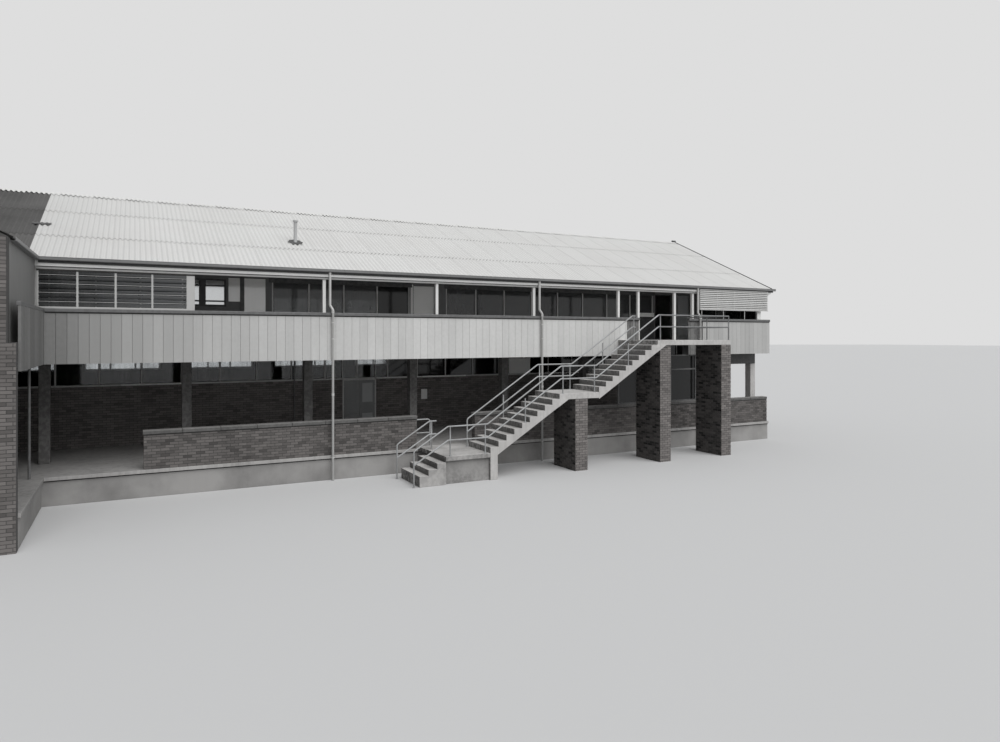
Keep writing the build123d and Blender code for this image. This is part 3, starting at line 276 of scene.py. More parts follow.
# %% [markdown]
# Paint and concrete wear pale or bare where hands, feet and rain reach an edge. Pointiness
# finds the edges that the bevels made, and noise breaks them up so the wear looks patchy.

# %% Group: edge wear
edge_wear, asked, given = new_group("edge_wear", [("Amount", FLOAT, 0.5)], [("Mask", FLOAT)])
shape = edge_wear.nodes.new("ShaderNodeNewGeometry")
edges = contrast(edge_wear, shape.outputs["Pointiness"], 0.52, 0.60)
broken = contrast(edge_wear, object_noise(edge_wear, (1.0, 1.0, 1.0), 9.0), 0.40, 0.62)
patchy = math_node(edge_wear, "MULTIPLY", edges, broken)
worn = math_node(edge_wear, "MULTIPLY", patchy, asked.outputs["Amount"])
wire(edge_wear, worn, given.inputs["Mask"])
print("group:", edge_wear.name)

# %% [markdown]
# The photograph is black and white, so each finish is written as the grey that it shows,
# from 0 to 255, with a very slight tint that the real material would have. Print greys lie
# on a curve and light adds up in a straight line, so every grey is straightened first.

# %% Helpers for colour
def shade(grey, tint=(1.0, 1.0, 1.0)):
    """A print grey from 0 to 255 as a linear colour, slightly tinted."""
    linear = ((grey / 255 + 0.055) / 1.055) ** 2.4
    return (linear * tint[0], linear * tint[1], linear * tint[2], 1.0)


def use_group(tree, group, **values):
    """Places a group in a material with its own values."""
    node = tree.nodes.new("ShaderNodeGroup")
    node.node_tree = group
    for title, value in values.items():
        node.inputs[title].default_value = value
    return node.outputs[0]


def mix_colour(tree, mask, first, second, blend="MIX"):
    """Mixes two colours, each a socket or a plain colour, by a mask."""
    node = tree.nodes.new("ShaderNodeMix")
    node.data_type = "RGBA"
    node.blend_type = blend
    for i, value in ((0, mask), (6, first), (7, second)):
        if isinstance(value, (int, float, tuple)):
            node.inputs[i].default_value = value
        else:
            wire(tree, value, node.inputs[i])
    return node.outputs[2]


CREAM = (1.005, 1.0, 0.98)
EARTH = (1.02, 0.995, 0.97)
CLAY = (1.07, 0.99, 0.95)
COOL = (0.98, 1.0, 1.01)
print("a mid grey of 128 is", round(shade(128)[0], 3), "in linear light")

# %% [markdown]
# The recipe is always the same: a main colour, a weathered colour that the weathering mask
# lets in, the tone of each piece, worn edges, and the grain as bump and as a change in
# roughness. An image for each finish could do this too, but noise in metres fits every
# piece without unwrapping it, and never repeats along the wall.

# %% Recipe for a finish
RELIEF_DEPTH = 0.01


def finish(name, main, weathered, streaks=0.3, patches=0.4, spread=0.3, wear=0.0, bare=None,
           rough=(0.6, 0.85), grain_scale=40.0, along=1.0, bump=0.15, scale=1.0):
    """A weathered finish; bare is the colour that shows where its edges are worn."""
    material = bpy.data.materials.new(name)
    material.use_nodes = True
    tree = material.node_tree
    shader = tree.nodes["Principled BSDF"]
    mask = use_group(tree, weathering, Scale=scale, Streaks=streaks, Patches=patches)
    colour = mix_colour(tree, mask, main, weathered)
    bright = tree.nodes.new("ShaderNodeCombineColor")
    level = use_group(tree, piece_tone, Spread=spread)
    for i in range(3):
        wire(tree, level, bright.inputs[i])
    colour = mix_colour(tree, 1.0, colour, bright.outputs[0], "MULTIPLY")
    if wear:
        edge = use_group(tree, edge_wear, Amount=wear)
        colour = mix_colour(tree, edge, colour, bare or weathered)
    wire(tree, colour, shader.inputs["Base Color"])
    height = use_group(tree, grain, Scale=grain_scale, Along=along)
    roughness = tree.nodes.new("ShaderNodeMapRange")
    roughness.inputs["To Min"].default_value = rough[0]
    roughness.inputs["To Max"].default_value = rough[1]
    wire(tree, height, roughness.inputs["Value"])
    wire(tree, roughness.outputs["Result"], shader.inputs["Roughness"])
    relief = tree.nodes.new("ShaderNodeBump")
    relief.inputs["Strength"].default_value = bump
    relief.inputs["Distance"].default_value = RELIEF_DEPTH
    wire(tree, height, relief.inputs["Height"])
    wire(tree, relief.outputs["Normal"], shader.inputs["Normal"])
    return material


print("groups of the recipe:", weathering.name, piece_tone.name, edge_wear.name, grain.name)

# %% [markdown]
# The masonry and the concrete come first. Brick gets a clay tint and the widest change
# from piece to piece, because the wall in the picture is flecked with darker bricks.
# Concrete that was cast in boards and left bare weathers in long streaks.

# %% Finishes of the masonry
brick_clay = finish("brick_clay", shade(108, CLAY), shade(80, CLAY), 0.15, 0.35, spread=0.48,
                    rough=(0.75, 0.95), grain_scale=160, bump=0.25)
mortar = finish("mortar", shade(78, EARTH), shade(60, EARTH), 0.2, 0.5,
                rough=(0.85, 0.98), grain_scale=220, bump=0.2)
render = finish("cement_render", shade(164, EARTH), shade(112, EARTH), 0.06, 0.75,
                rough=(0.8, 0.95), grain_scale=120, bump=0.25)
concrete = finish("cast_concrete", shade(158, EARTH), shade(112, EARTH), 0.45, 0.45, wear=0.4,
                  bare=shade(190, EARTH), rough=(0.75, 0.92), grain_scale=70, bump=0.2)
stair_concrete = finish("stair_concrete", shade(198, EARTH), shade(154, EARTH), 0.35, 0.45,
                        spread=0.62, wear=0.5, bare=shade(214, EARTH), rough=(0.7, 0.9),
                        grain_scale=60, bump=0.2, scale=1.6)
column_concrete = finish("column_concrete", shade(100, EARTH), shade(70, EARTH), 0.3, 0.5,
                         wear=0.4, bare=shade(160, EARTH), rough=(0.75, 0.92), grain_scale=70,
                         bump=0.2)
landing_concrete = finish("landing_concrete", shade(158, EARTH), shade(104, EARTH), 0.08, 0.7,
                          spread=0.6, wear=0.5, bare=shade(206, EARTH), rough=(0.7, 0.9),
                          grain_scale=60, bump=0.2, scale=1.6)
coping_concrete = finish("coping_concrete", shade(90, EARTH), shade(70, EARTH), 0.15, 0.4,
                         spread=0.5, wear=0.15, bare=shade(150, EARTH), grain_scale=80, bump=0.25)
print("masonry finishes made")

# %% [markdown]
# Paint is the other half of the building. The upright boards were brushed, so their grain
# runs up and down, and the older boards beside the stair head kept a darker coat.

# %% Finishes of the painted work
boards_light = finish("boards_light", shade(216, CREAM), shade(196, CREAM), 0.25, 0.3,
                      spread=0.05, wear=0.1, bare=shade(160, EARTH), rough=(0.5, 0.72),
                      grain_scale=50, along=0.1, bump=0.12)
boards_old = finish("boards_old", shade(112, CREAM), shade(78, CREAM), 0.5, 0.5, spread=0.25,
                    wear=0.4, bare=shade(140, EARTH), rough=(0.6, 0.85), grain_scale=50,
                    along=0.1, bump=0.2)
# This dark finish is dirt in the joints and painted shade under ledges, copings, caps, fascias and
# the louvre head.
dirt_and_painted_shade = finish("dirt_and_painted_shade", shade(58, EARTH), shade(40, EARTH), 0.3, 0.3,
                    rough=(0.85, 0.95), grain_scale=50, bump=0.1)
trim_white = finish("trim_white", shade(236, CREAM), shade(212, CREAM), 0.2, 0.3, wear=0.1,
                    bare=shade(150, EARTH), rough=(0.35, 0.55), grain_scale=50, along=0.2,
                    bump=0.06)
trim_grey = finish("trim_grey", shade(102), shade(84), 0.2, 0.4, wear=0.35, bare=shade(140),
                   rough=(0.4, 0.6), grain_scale=50, along=0.2, bump=0.08)
beam_paint = finish("beam_paint", shade(190, CREAM), shade(166, CREAM), 0.2, 0.3, wear=0.2,
                    bare=shade(140, EARTH), rough=(0.4, 0.6), grain_scale=50, along=0.2, bump=0.06)
wall_panel = finish("wall_panel", shade(250, CREAM), shade(232, CREAM), 0.15, 0.4, spread=0.1,
                    rough=(0.5, 0.7), grain_scale=70, bump=0.08)
wall_wing = finish("wall_wing", shade(130, CREAM), shade(110, CREAM), 0.2, 0.4,
                   rough=(0.5, 0.7), grain_scale=70, bump=0.08)
wall_dark = finish("wall_dark", shade(112), shade(92), 0.2, 0.4, spread=0.1,
                   rough=(0.5, 0.7), grain_scale=70, bump=0.08)
# This dark finish is real dark paint and lead, and also painted shade on the bulkhead, under the
# gutter and along the window heads.
dark_finish_and_painted_shade = finish("dark_finish_and_painted_shade", shade(62), shade(48), 0.2, 0.4, wear=0.3, bare=shade(110),
                    rough=(0.4, 0.6), grain_scale=60, along=0.3, bump=0.08)
door_paint = finish("door_paint", shade(138, COOL), shade(112, COOL), 0.2, 0.4, wear=0.3,
                    bare=shade(165, EARTH), rough=(0.35, 0.55), grain_scale=50, along=0.2,
                    bump=0.08)
panel_paint = finish("panel_paint", shade(184, COOL), shade(158, COOL), 0.2, 0.4, wear=0.2,
                     bare=shade(120), rough=(0.35, 0.55), grain_scale=50, along=0.2, bump=0.06)
frame_paint = finish("frame_paint", shade(212, CREAM), shade(180, CREAM), 0.2, 0.4, wear=0.3,
                     bare=shade(120, EARTH), rough=(0.4, 0.6), grain_scale=60, along=0.3,
                     bump=0.08)
print("painted finishes made")

# %% [markdown]
# Fibre cement sheets bleach to nearly white and then hold soot and lichen, which is why
# the older slope at the left is nearly black. Painted steel is smoother, and its paint is
# lost first where a clip or a hand rubs it.

# %% Finishes of the roof and the steel
roof_pale = finish("roof_pale", shade(208, CREAM), shade(196, EARTH), 0.0, 0.35, spread=0.01,
                   rough=(0.75, 0.92), grain_scale=90, bump=0.15, scale=0.7)
roof_dark = finish("roof_dark", shade(84, EARTH), shade(56, EARTH), 0.0, 0.6, spread=0.2,
                   rough=(0.8, 0.95), grain_scale=90, bump=0.2, scale=0.9)
gutter_paint = finish("gutter_paint", shade(126), shade(102), 0.3, 0.4, wear=0.4,
                      bare=shade(170), rough=(0.35, 0.55), grain_scale=120, bump=0.05)
pipe_white = finish("pipe_white", shade(208, CREAM), shade(176, EARTH), 0.5, 0.3, wear=0.2,
                    bare=shade(120, EARTH), rough=(0.35, 0.55), grain_scale=120, bump=0.05)
rail_paint = finish("rail_paint", shade(170, COOL), shade(128, EARTH), 0.3, 0.5, wear=0.4,
                    bare=shade(92, EARTH), rough=(0.3, 0.5), grain_scale=150, bump=0.06, scale=3)
hood_white = finish("hood_white", shade(205, CREAM), shade(182, CREAM), 0.3, 0.3, spread=0.06,
                    rough=(0.35, 0.5), grain_scale=120, bump=0.04)
zinc = finish("zinc", shade(186), shade(150), 0.3, 0.4, rough=(0.4, 0.6), grain_scale=60,
              bump=0.05)
print("roof and steel finishes made")

# %% [markdown]
# Window glass is a clear sheet. In the first three bays the picture shows daylight right
# through the rooms, and further along the panes are dark with the shade of the unlit rooms
# behind them. That shade is painted into the glass: a gradient darkens it beyond the third
# bay, along X, slanted so that a front pane and the rear pane seen through it darken
# together. Glass that is only partly transmissive looks greyer, as dusty panes and louvres
# do, and a nearly opaque dark glass paints the shade that lies behind some panes. The
# lights of one small screen mirror the sky like foil, so that glass is nearly a metal.

# %% Glass
PANE_LINE = 5.1
SIGHT_SLANT = 0.358
DUST = 0.08


def glass(name, clear, dim, start, end, roughness, through=1.0, slant=0.0, metallic=0.0):
    """Clear glass that turns dim between two distances along the building."""
    material = bpy.data.materials.new(name)
    material.use_nodes = True
    tree = material.node_tree
    shader = tree.nodes["Principled BSDF"]
    place = tree.nodes.new("ShaderNodeTexCoord")
    axis = tree.nodes.new("ShaderNodeSeparateXYZ")
    wire(tree, place.outputs["Object"], axis.inputs[0])
    inward = math_node(tree, "SUBTRACT", axis.outputs["Y"], ORIGIN.y + PANE_LINE)
    place_along = math_node(
        tree, "SUBTRACT", axis.outputs["X"], math_node(tree, "MULTIPLY", inward, slant))
    along = contrast(tree, place_along, start + ORIGIN.x, end + ORIGIN.x)
    smear = use_group(tree, weathering, Scale=3.0, Streaks=0.3, Patches=0.3)
    colour = mix_colour(tree, along, clear, dim)
    wire(tree, mix_colour(tree, smear, colour, dim), shader.inputs["Base Color"])
    shader.inputs["Transmission Weight"].default_value = through
    shader.inputs["Metallic"].default_value = metallic
    shader.inputs["IOR"].default_value = 1.45
    dust = use_group(tree, grain, Scale=30.0)
    ranged = tree.nodes.new("ShaderNodeMapRange")
    ranged.inputs["To Min"].default_value = roughness
    ranged.inputs["To Max"].default_value = roughness + DUST
    wire(tree, dust, ranged.inputs["Value"])
    wire(tree, ranged.outputs["Result"], shader.inputs["Roughness"])
    return material


# Beyond the third bay these panes are painted dark as the shade of the unlit rooms.
room_glass_painted_shade = glass(
    "room_glass_painted_shade", shade(235, COOL), shade(30, COOL), 11.6, 12.0, 0.01, slant=SIGHT_SLANT)
verandah_glass = glass(
    "verandah_glass", shade(128, COOL), shade(92, COOL), 0.0, 28.0, 0.03, through=0.5)
# Painted shade: a nearly opaque dark glass where only shade lies behind a pane.
painted_shade_glass = glass(
    "painted_shade_glass", shade(32, COOL), shade(26, COOL), 18.0, 26.0, 0.06, through=0.2)
louvre_glass = glass(
    "louvre_glass", shade(70, COOL), shade(150, COOL), 0.0, 4.0, 0.2, through=0.3)
sky_glass = glass(
    "sky_glass", shade(238, COOL), shade(214, COOL), 0.0, 8.0, 0.06, through=0.0, metallic=0.9)
print("five kinds of glass made")

# %% [markdown]
# Boards, bricks and trims are cut from straight stock, rails and pipes from round stock.
# Each could be drawn corner by corner, but a cube or cone operator with a matrix says the
# same in one line. No real arris is sharp, and a bevel of a few millimetres on every sharp
# edge is what catches the light.

# %% Helpers for shapes
SHARP = math.radians(40)
RUN = {"x": 0, "y": 1}


def bar(bm, x0, x1, y0, y1, z0, z1):
    """A straight bar between two corners."""
    middle = Vector(((x0 + x1) / 2, (y0 + y1) / 2, (z0 + z1) / 2))
    stretch = Matrix.Diagonal((x1 - x0, y1 - y0, z1 - z0, 1.0))
    place = Matrix.Translation(middle) @ stretch
    return bmesh.ops.create_cube(bm, size=1.0, matrix=place)["verts"]


def bar_along(bm, along, start, end, near, far, low, high):
    """A bar in a wall that runs along 'x' or 'y', between the two faces of the wall."""
    if along == "x":
        return bar(bm, start, end, near, far, low, high)
    return bar(bm, near, far, start, end, low, high)


def round_bar(bm, start, end, radius, sides=12, tip=None):
    """A round bar between two points; tip is its radius at the far end."""
    start, end = Vector(start), Vector(end)
    line = end - start
    turn = line.to_track_quat("Z", "Y").to_matrix().to_4x4()
    bmesh.ops.create_cone(
        bm, cap_ends=True, segments=sides, radius1=radius,
        radius2=radius if tip is None else tip, depth=line.length,
        matrix=Matrix.Translation((start + end) / 2) @ turn)


def round_arrises(bm, width, segments=1, edges=None):
    """Bevels every sharp edge, or the given edges."""
    chosen = edges or [
        e for e in bm.edges if len(e.link_faces) == 2 and e.calc_face_angle(0.0) > SHARP]
    bmesh.ops.bevel(
        bm, geom=chosen, offset=width, offset_type="OFFSET", affect="EDGES",
        segments=segments, profile=0.5, material=-1, clamp_overlap=True)


print("an edge is sharp past", round(math.degrees(SHARP)), "degrees")

# %% [markdown]
# The tone of a face is what the piece tone group reads. Each brick or board draws a random
# number, which flecks a wall as the real one is flecked. Soot, shelter and splashes darken
# whole sides, so a rule that looks at each face can add to the tone afterwards.

# %% Helpers for tones
FACES_OF_BAR = 6
FACING = 0.7


def number_tones(bm, low=-1.0, high=1.0, power=1.0):
    """Gives each bar, one brick or board, a random tone between two limits."""
    layer = bm.faces.layers.float.new("tone")
    value = 0.0
    for i, face in enumerate(bm.faces):
        if i % FACES_OF_BAR == 0:
            value = low + (high - low) * random.random() ** power
        face[layer] = value


def add_tone(bm, rule):
    """Adds what a rule gives for each face to the tone of that face."""
    layer = bm.faces.layers.float.get("tone") or bm.faces.layers.float.new("tone")
    for face in bm.faces:
        face[layer] += rule(face)


def looks(face, way):
    """True for a face that looks along an axis, such as '-x' or '+z'."""
    share = face.normal["xyz".index(way[1])]
    return share > FACING if way[0] == "+" else share < -FACING


print("a face looks one way within", round(math.degrees(math.acos(FACING))), "degrees")

# %% [markdown]
# A finished piece gets its normals set, is moved from the setting-out lines into the frame,
# and is given to the body that it rides on. It gets its finish here too, so a piece can't
# be left without one.

# %% A finished piece
def finish_piece(name, bm, material, stands_for=(), body="building", smooth=None):
    """Turns a bmesh in setting-out metres into a named piece that rides on a body."""
    bmesh.ops.recalc_face_normals(bm, faces=bm.faces)
    bmesh.ops.translate(bm, verts=bm.verts, vec=ORIGIN)
    mesh = bpy.data.meshes.new(name)
    bm.to_mesh(mesh)
    bm.free()
    mesh.materials.append(material)
    if smooth:
        mesh.shade_smooth()
        mesh.set_sharp_from_angle(angle=math.radians(smooth))
    piece = bpy.data.objects.new(name, mesh)
    bpy.context.scene.collection.objects.link(piece)
    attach(piece, body)
    if stands_for:
        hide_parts(*stands_for)
    mesh.calc_loop_triangles()
    print(name, "has", len(mesh.loop_triangles), "triangles")


print("pieces are moved by", tuple(round(c, 3) for c in ORIGIN))

# %% [markdown]
# Where a part of the model only needs rounded arrises, drawing it again would be waste. A
# copy has its loose triangles merged into flat faces, because a bevel needs real edges,
# and takes the part's place. A part that is right as it stands only gets its finish.

# %% Helpers for copies
MERGE = 0.0005
FLAT = math.radians(1)


def merged_copy(node):
    """A bmesh of a node in setting-out metres, its loose triangles merged into flat faces."""
    bm = bmesh.new()
    bm.from_mesh(nodes[node].data)
    bmesh.ops.translate(bm, verts=bm.verts, vec=-ORIGIN)
    bmesh.ops.remove_doubles(bm, verts=bm.verts, dist=MERGE)
    bmesh.ops.dissolve_limit(bm, angle_limit=FLAT, verts=bm.verts, edges=bm.edges)
    return bm


def softened_copy(name, node, material, width, smooth=None, body="building"):
    """Puts a finer copy of a node, with rounded arrises, in its place."""
    bm = merged_copy(node)
    round_arrises(bm, width, 2)
    finish_piece(name, bm, material, (node,), body, smooth)


def repaint(node, material):
    """Gives a carried-over node its finish; the shape stays as it is."""
    nodes[node].data.materials.clear()
    nodes[node].data.materials.append(material)


trial = merged_copy("plinth")
print("the plinth has", len(nodes["plinth"].data.polygons), "triangles and", len(trial.faces),
      "flat faces")
trial.free()

# %% [markdown]
# The building stands on a rendered plinth with a concrete ledge along its top. Both were
# cast or floated by hand, so their edges are never knife sharp. Softened copies with a
# small bevel are all they need. The front of the ledge is painted lighter as its highlight
# and its other faces darker as shade, and a thin strip under it is painted dark as its
# shadow.

# %% Plinth, slabs, columns and end beam
softened_copy("rendered_plinth", "plinth", render, 0.010)
ledge = merged_copy("ground_slab")
round_arrises(ledge, 0.008, 2)
# Painted light: the front face of the ledge is lighter as its highlight, the others darker as
# shade.
add_tone(ledge, lambda face: 1.1 if looks(face, "-y") else -0.3)
finish_piece("ledge_slab", ledge, concrete, ("ground_slab",))
wall_face = reach("low_walls")[0].y
ledge_under = reach("ground_slab")[0].z
# A thin strip under the ledge is painted dark as its shadow.
ledge_shadow = bmesh.new()
bar(ledge_shadow, 0.06, END_X, wall_face - 0.004, wall_face + 0.002,
    ledge_under - 0.035, ledge_under + 0.002)
finish_piece("ledge_painted_shadow", ledge_shadow, dirt_and_painted_shade)
softened_copy("floor_slab", "upper_slab", concrete, 0.006)
softened_copy("undercroft_columns", "ground_columns", column_concrete, 0.018)
softened_copy("corner_column", "end_column", stair_concrete, 0.015)
# The bulkhead beam is painted dark as the shade that it stands in at the end of the undercroft.
softened_copy("bulkhead_beam_painted_shade", "end_beam", dark_finish_and_painted_shade, 0.010)

# %% [markdown]
# The stair is the part of the building that took the most skill to make: two flights of
# ten equal risers, cast with a saw-tooth top above a sloping waist, and three landings.
# The shapes come from the model, with their nosings worn round. Every face that looks down
# the flight, away from the light, is painted darker as shade, and the treads get a tone of
# their own.

# %% Flights and landings
RISER_PAINTED_SHADE = -1.2
NOSING = 0.009


def stair_copy(name, node, material, side_tone=0.0, tread_tone=-0.25):
    """A softened copy of a part of the stair with painted shade on its risers and a tone of its
    own on its treads.
    """
    def painted_shade_and_tread_tone(face):
        if looks(face, "-x"):
            return RISER_PAINTED_SHADE
        return tread_tone if looks(face, "+z") else side_tone

    bm = merged_copy(node)
    round_arrises(bm, NOSING, 2)
    add_tone(bm, painted_shade_and_tread_tone)
    finish_piece(name, bm, material, (node,))


for name, node in (
        ("stair_lower_flight", "lower_flight"), ("stair_half_landing", "middle_landing"),
        ("stair_upper_flight", "upper_flight"), ("stair_top_landing", "top_landing")):
    stair_copy(name, node, stair_concrete)
stair_copy("stair_foot_steps", "bottom_steps", landing_concrete, 0.3, 0.8)
stair_copy("stair_first_landing", "lower_landing", landing_concrete, -0.15, 0.6)

# %% [markdown]
# Where a flight meets a landing, its sloping underside runs on as a haunch until it reaches
# the underside of the slab. A boolean could add that wedge to the flight, but one triangle
# pushed across the stair is simpler. It laps into both and stands a hair proud of them, so
# no seam shows.

# %% Haunches under the landings
RISER = 0.180
GOING = 0.296
WAIST_DROP = 0.244
HAUNCH_PROUD = 0.002
HAUNCH_LAP = 0.030


def haunch_underside(landing, x):
    """Level of the sloping underside of the haunch at the left end of a landing."""
    low, high = reach(landing)
    return high.z - RISER - WAIST_DROP + (x - low.x) * RISER / GOING


haunches = bmesh.new()
flight_low, flight_high = reach("upper_flight")
outer = flight_low.y - HAUNCH_PROUD
for landing in ("middle_landing", "top_landing"):
    low = reach(landing)[0]
    left = low.x - HAUNCH_LAP
    top = low.z + HAUNCH_LAP
    tip = low.x + (top - haunch_underside(landing, low.x)) * GOING / RISER
    corners = ((left, haunch_underside(landing, left)), (left, top), (tip, top))
    wedge = haunches.faces.new([haunches.verts.new((x, outer, z)) for x, z in corners])
    pushed = bmesh.ops.extrude_face_region(haunches, geom=[wedge])["geom"]
    bmesh.ops.translate(
        haunches, verts=[v for v in pushed if isinstance(v, bmesh.types.BMVert)],
        vec=(0, flight_high.y - outer, 0))
finish_piece("stair_haunches", haunches, stair_concrete)

# %% [markdown]
# Handrails are steel water pipe, bent cold round a former, so every corner is a smooth
# bend and not a mitre. The pipes of the model have the right bends already: a merged copy
# with smooth shading shows them as round. Each standard is held by a round flange with a
# welded collar, placed where a flat pipe end faces down onto the concrete. Beside the
# upper floor the paint is older and darker, which the tone of the faces gives.

# %% Pipe handrails
OLD_PAINT_X = (19.4, 20.4)
OLD_PAINT_TONE = -1.5
UP = Vector((0, 0, 1))


def paint_age(face):
    """Tone of a rail, which falls off to that of the old paint at the stair head."""
    start, end = OLD_PAINT_X
    share = (face.calc_center_median().x - start) / (end - start)
    return OLD_PAINT_TONE * min(1.0, max(0.0, share))


flanges = bmesh.new()
for name, node in (
        ("rail_outer", "outer_handrail"), ("rail_inner", "inner_handrail"),
        ("rail_landing_end", "landing_end_rail"), ("rail_foot", "inner_foot_rail"),
        ("rail_gap", "gap_rail")):
    pipe = merged_copy(node)
    for face in pipe.faces:
        if face.normal.z < -0.99 and len(face.verts) > 20:
            foot = face.calc_center_median()
            round_bar(flanges, foot - UP * 0.004, foot + UP * 0.008, 0.052, 20)
            round_bar(flanges, foot, foot + UP * 0.040, 0.031, 16, 0.026)
    add_tone(pipe, paint_age)
    finish_piece(name, pipe, rail_paint, (node,), smooth=50)
finish_piece("rail_flanges", flanges, rail_paint, smooth=50)

# %% [markdown]
# The lit walls are face brick, twelve courses to a metre. A pattern in the material would
# be lighter, but its joints would lie flat and never turn a corner. So each brick is a bar
# whose face is drawn in a little on all sides, which gives its soft arris. Bricks stand a
# few millimetres proud of the wall of the model, and that wall shows through between them
# as the mortar.

# %% One brick
COURSE = 1.0 / 12
BRICK_PITCH = 0.240
JOINT = 0.010
PROUD = 0.007
ARRIS = 0.002
NEARLY = 0.0001


def lay_one(bm, along, left, right, low, high, face, outward):
    """One brick, its face drawn in by the arris."""
    front = face + outward * PROUD
    back = face - outward * PROUD
    near, far = min(front, back), max(front, back)
    run = RUN[along]
    for v in bar_along(bm, along, left, right, near, far, low, high):
        if abs(v.co[1 - run] - front) < NEARLY:
            v.co[run] += ARRIS if v.co[run] < (left + right) / 2 else -ARRIS
            v.co.z += ARRIS if v.co.z < (low + high) / 2 else -ARRIS


print("a brick shows", round((BRICK_PITCH - JOINT) * 1000), "by",
      round((COURSE - JOINT) * 1000), "mm")

# %% [markdown]
# The bricks are laid in stretcher bond: every second course is shifted by half a brick.
# Bricks at an opening are cut to fit, and so are those under a slope. The cube operator
# slows down as a mesh grows, so each course is laid by itself and poured into the wall.

# %% Courses of bricks
def pour(small, large):
    """Adds one bmesh to another, and frees the small one."""
    carrier = bpy.data.meshes.new("carrier")
    small.to_mesh(carrier)
    small.free()
    large.from_mesh(carrier)
    bpy.data.meshes.remove(carrier)


def lay_bricks(bm, along, start, end, bottom, top, face, outward, lap=0.0, slope=None):
    """Lays bricks on an upright wall that runs along 'x' or 'y', up to a level or a slope."""
    start -= lap
    end += lap
    first = math.floor((bottom - GROUND_FLOOR) / COURSE + 0.001)
    last = math.ceil((top - GROUND_FLOOR) / COURSE - 0.001)
    for row in range(first, last):
        low = max(bottom, GROUND_FLOOR + row * COURSE + JOINT / 2)
        high = GROUND_FLOOR + (row + 1) * COURSE - JOINT / 2
        course = bmesh.new()
        shift = BRICK_PITCH / 2 * (row % 2)
        place = math.floor((start - shift) / BRICK_PITCH) * BRICK_PITCH + shift
        while place < end:
            left = max(start, place + JOINT / 2)
            right = min(end, place + BRICK_PITCH - JOINT / 2)
            level = min(top, slope(left), slope(right)) if slope else top
            if right - left > 2 * JOINT and min(high, level) - low > JOINT:
                lay_one(course, along, left, right, low, min(high, level), face, outward)
            place += BRICK_PITCH
        pour(course, bm)


print("bricks are shifted by", round(BRICK_PITCH * 500), "mm in every second course")

# %% [markdown]
# The low parapet is laid on both faces and its ends, in the two stretches either side of
# the way in. Each face laps the corner by the thickness that the bricks stand proud, so
# the corner is closed without a special brick.

# %% Parapet bricks
WAY_IN = (11.100, 13.350)
wall_low, wall_high = reach("low_walls")
parapet = bmesh.new()
for x0, x1 in ((wall_low.x, WAY_IN[0]), (WAY_IN[1], wall_high.x)):
    for face, outward in ((wall_low.y, -1), (wall_high.y, 1)):
        lay_bricks(parapet, "x", x0, x1, wall_low.z, wall_high.z, face, outward, PROUD)
    for face, outward in ((x0, -1), (x1, 1)):
        lay_bricks(parapet, "y", wall_low.y, wall_high.y, wall_low.z, wall_high.z, face, outward)
number_tones(parapet, -1.3, 0.25, 0.6)
finish_piece("parapet_bricks", parapet, brick_clay)

# %% [markdown]
# Like pieces share a node of the model: all the piers are one node, and so are all the
# panes. To dress them one by one, their corners could be typed in again, but it is safer
# to read them. The search walks along the edges from point to point until it has seen a
# solid whole.

# %% Solids of a node
def solids_of(node):
    """Lowest and highest corner of each separate solid of a node, from left to right."""
    bm = merged_copy(node)
    left = set(bm.verts)
    found = []
    while left:
        waiting = [left.pop()]
        corner_low, corner_high = waiting[0].co.copy(), waiting[0].co.copy()
        while waiting:
            v = waiting.pop()
            corner_low = Vector(map(min, corner_low, v.co))
            corner_high = Vector(map(max, corner_high, v.co))
            for other in (e.other_vert(v) for e in v.link_edges):
                if other in left:
                    left.remove(other)
                    waiting.append(other)
        found.append((corner_low, corner_high))
    bm.free()
    return sorted(found, key=lambda ends: tuple(ends[0]))


print("the stair stands on", len(solids_of("stair_piers")), "piers")

# %% [markdown]
# The piers under the stair are laid on all four faces. The one at the stair head is cut to
# the haunch that rests on it. Their left faces are painted darker as shade and their fronts
# painted lighter as light, so the tone of those faces is moved down and up.

# %% Pier bricks
BRICK_TONES = (-1.0, 0.55, 0.6)
BESIDE = 0.3


def under_top_haunch(x):
    """Where the pier at the stair head is cut to the haunch that rests on it."""
    return haunch_underside("top_landing", x)


def painted_pier_light_and_shade(face):
    """Painted shade taken from the tone of a pier's left face, and painted light added to its
    front.
    """
    if looks(face, "-x"):
        return -1.2
    return 0.6 if looks(face, "-y") else 0.0


piers = bmesh.new()
stair_head = reach("top_landing")[0].x
for low, high in solids_of("stair_piers"):
    cut = under_top_haunch if abs(low.x - stair_head) < BESIDE else None
    lay_bricks(piers, "x", low.x, high.x, low.z, high.z, low.y, -1, PROUD, cut)
    lay_bricks(piers, "x", low.x, high.x, low.z, high.z, high.y, 1, PROUD)
    for face, outward in ((low.x, -1), (high.x, 1)):
        lay_bricks(piers, "y", low.y, high.y, low.z, high.z, face, outward)
number_tones(piers, *BRICK_TONES)
add_tone(piers, painted_pier_light_and_shade)
finish_piece("pier_bricks", piers, brick_clay)

# %% [markdown]
# The long walls of the ground floor are laid on their outer faces only. A wall with
# windows could be laid whole and cut with booleans. Laying it as rectangles is cleaner:
# below the sills, between the openings and above them, all from the same lines, so the
# courses run through without a break.

# %% Bricks of the ground-floor walls
def between(openings, start, end):
    """The stretches of a wall that are left between its openings."""
    edges = [start, *(x for opening in openings for x in opening), end]
    return list(zip(edges[::2], edges[1::2]))


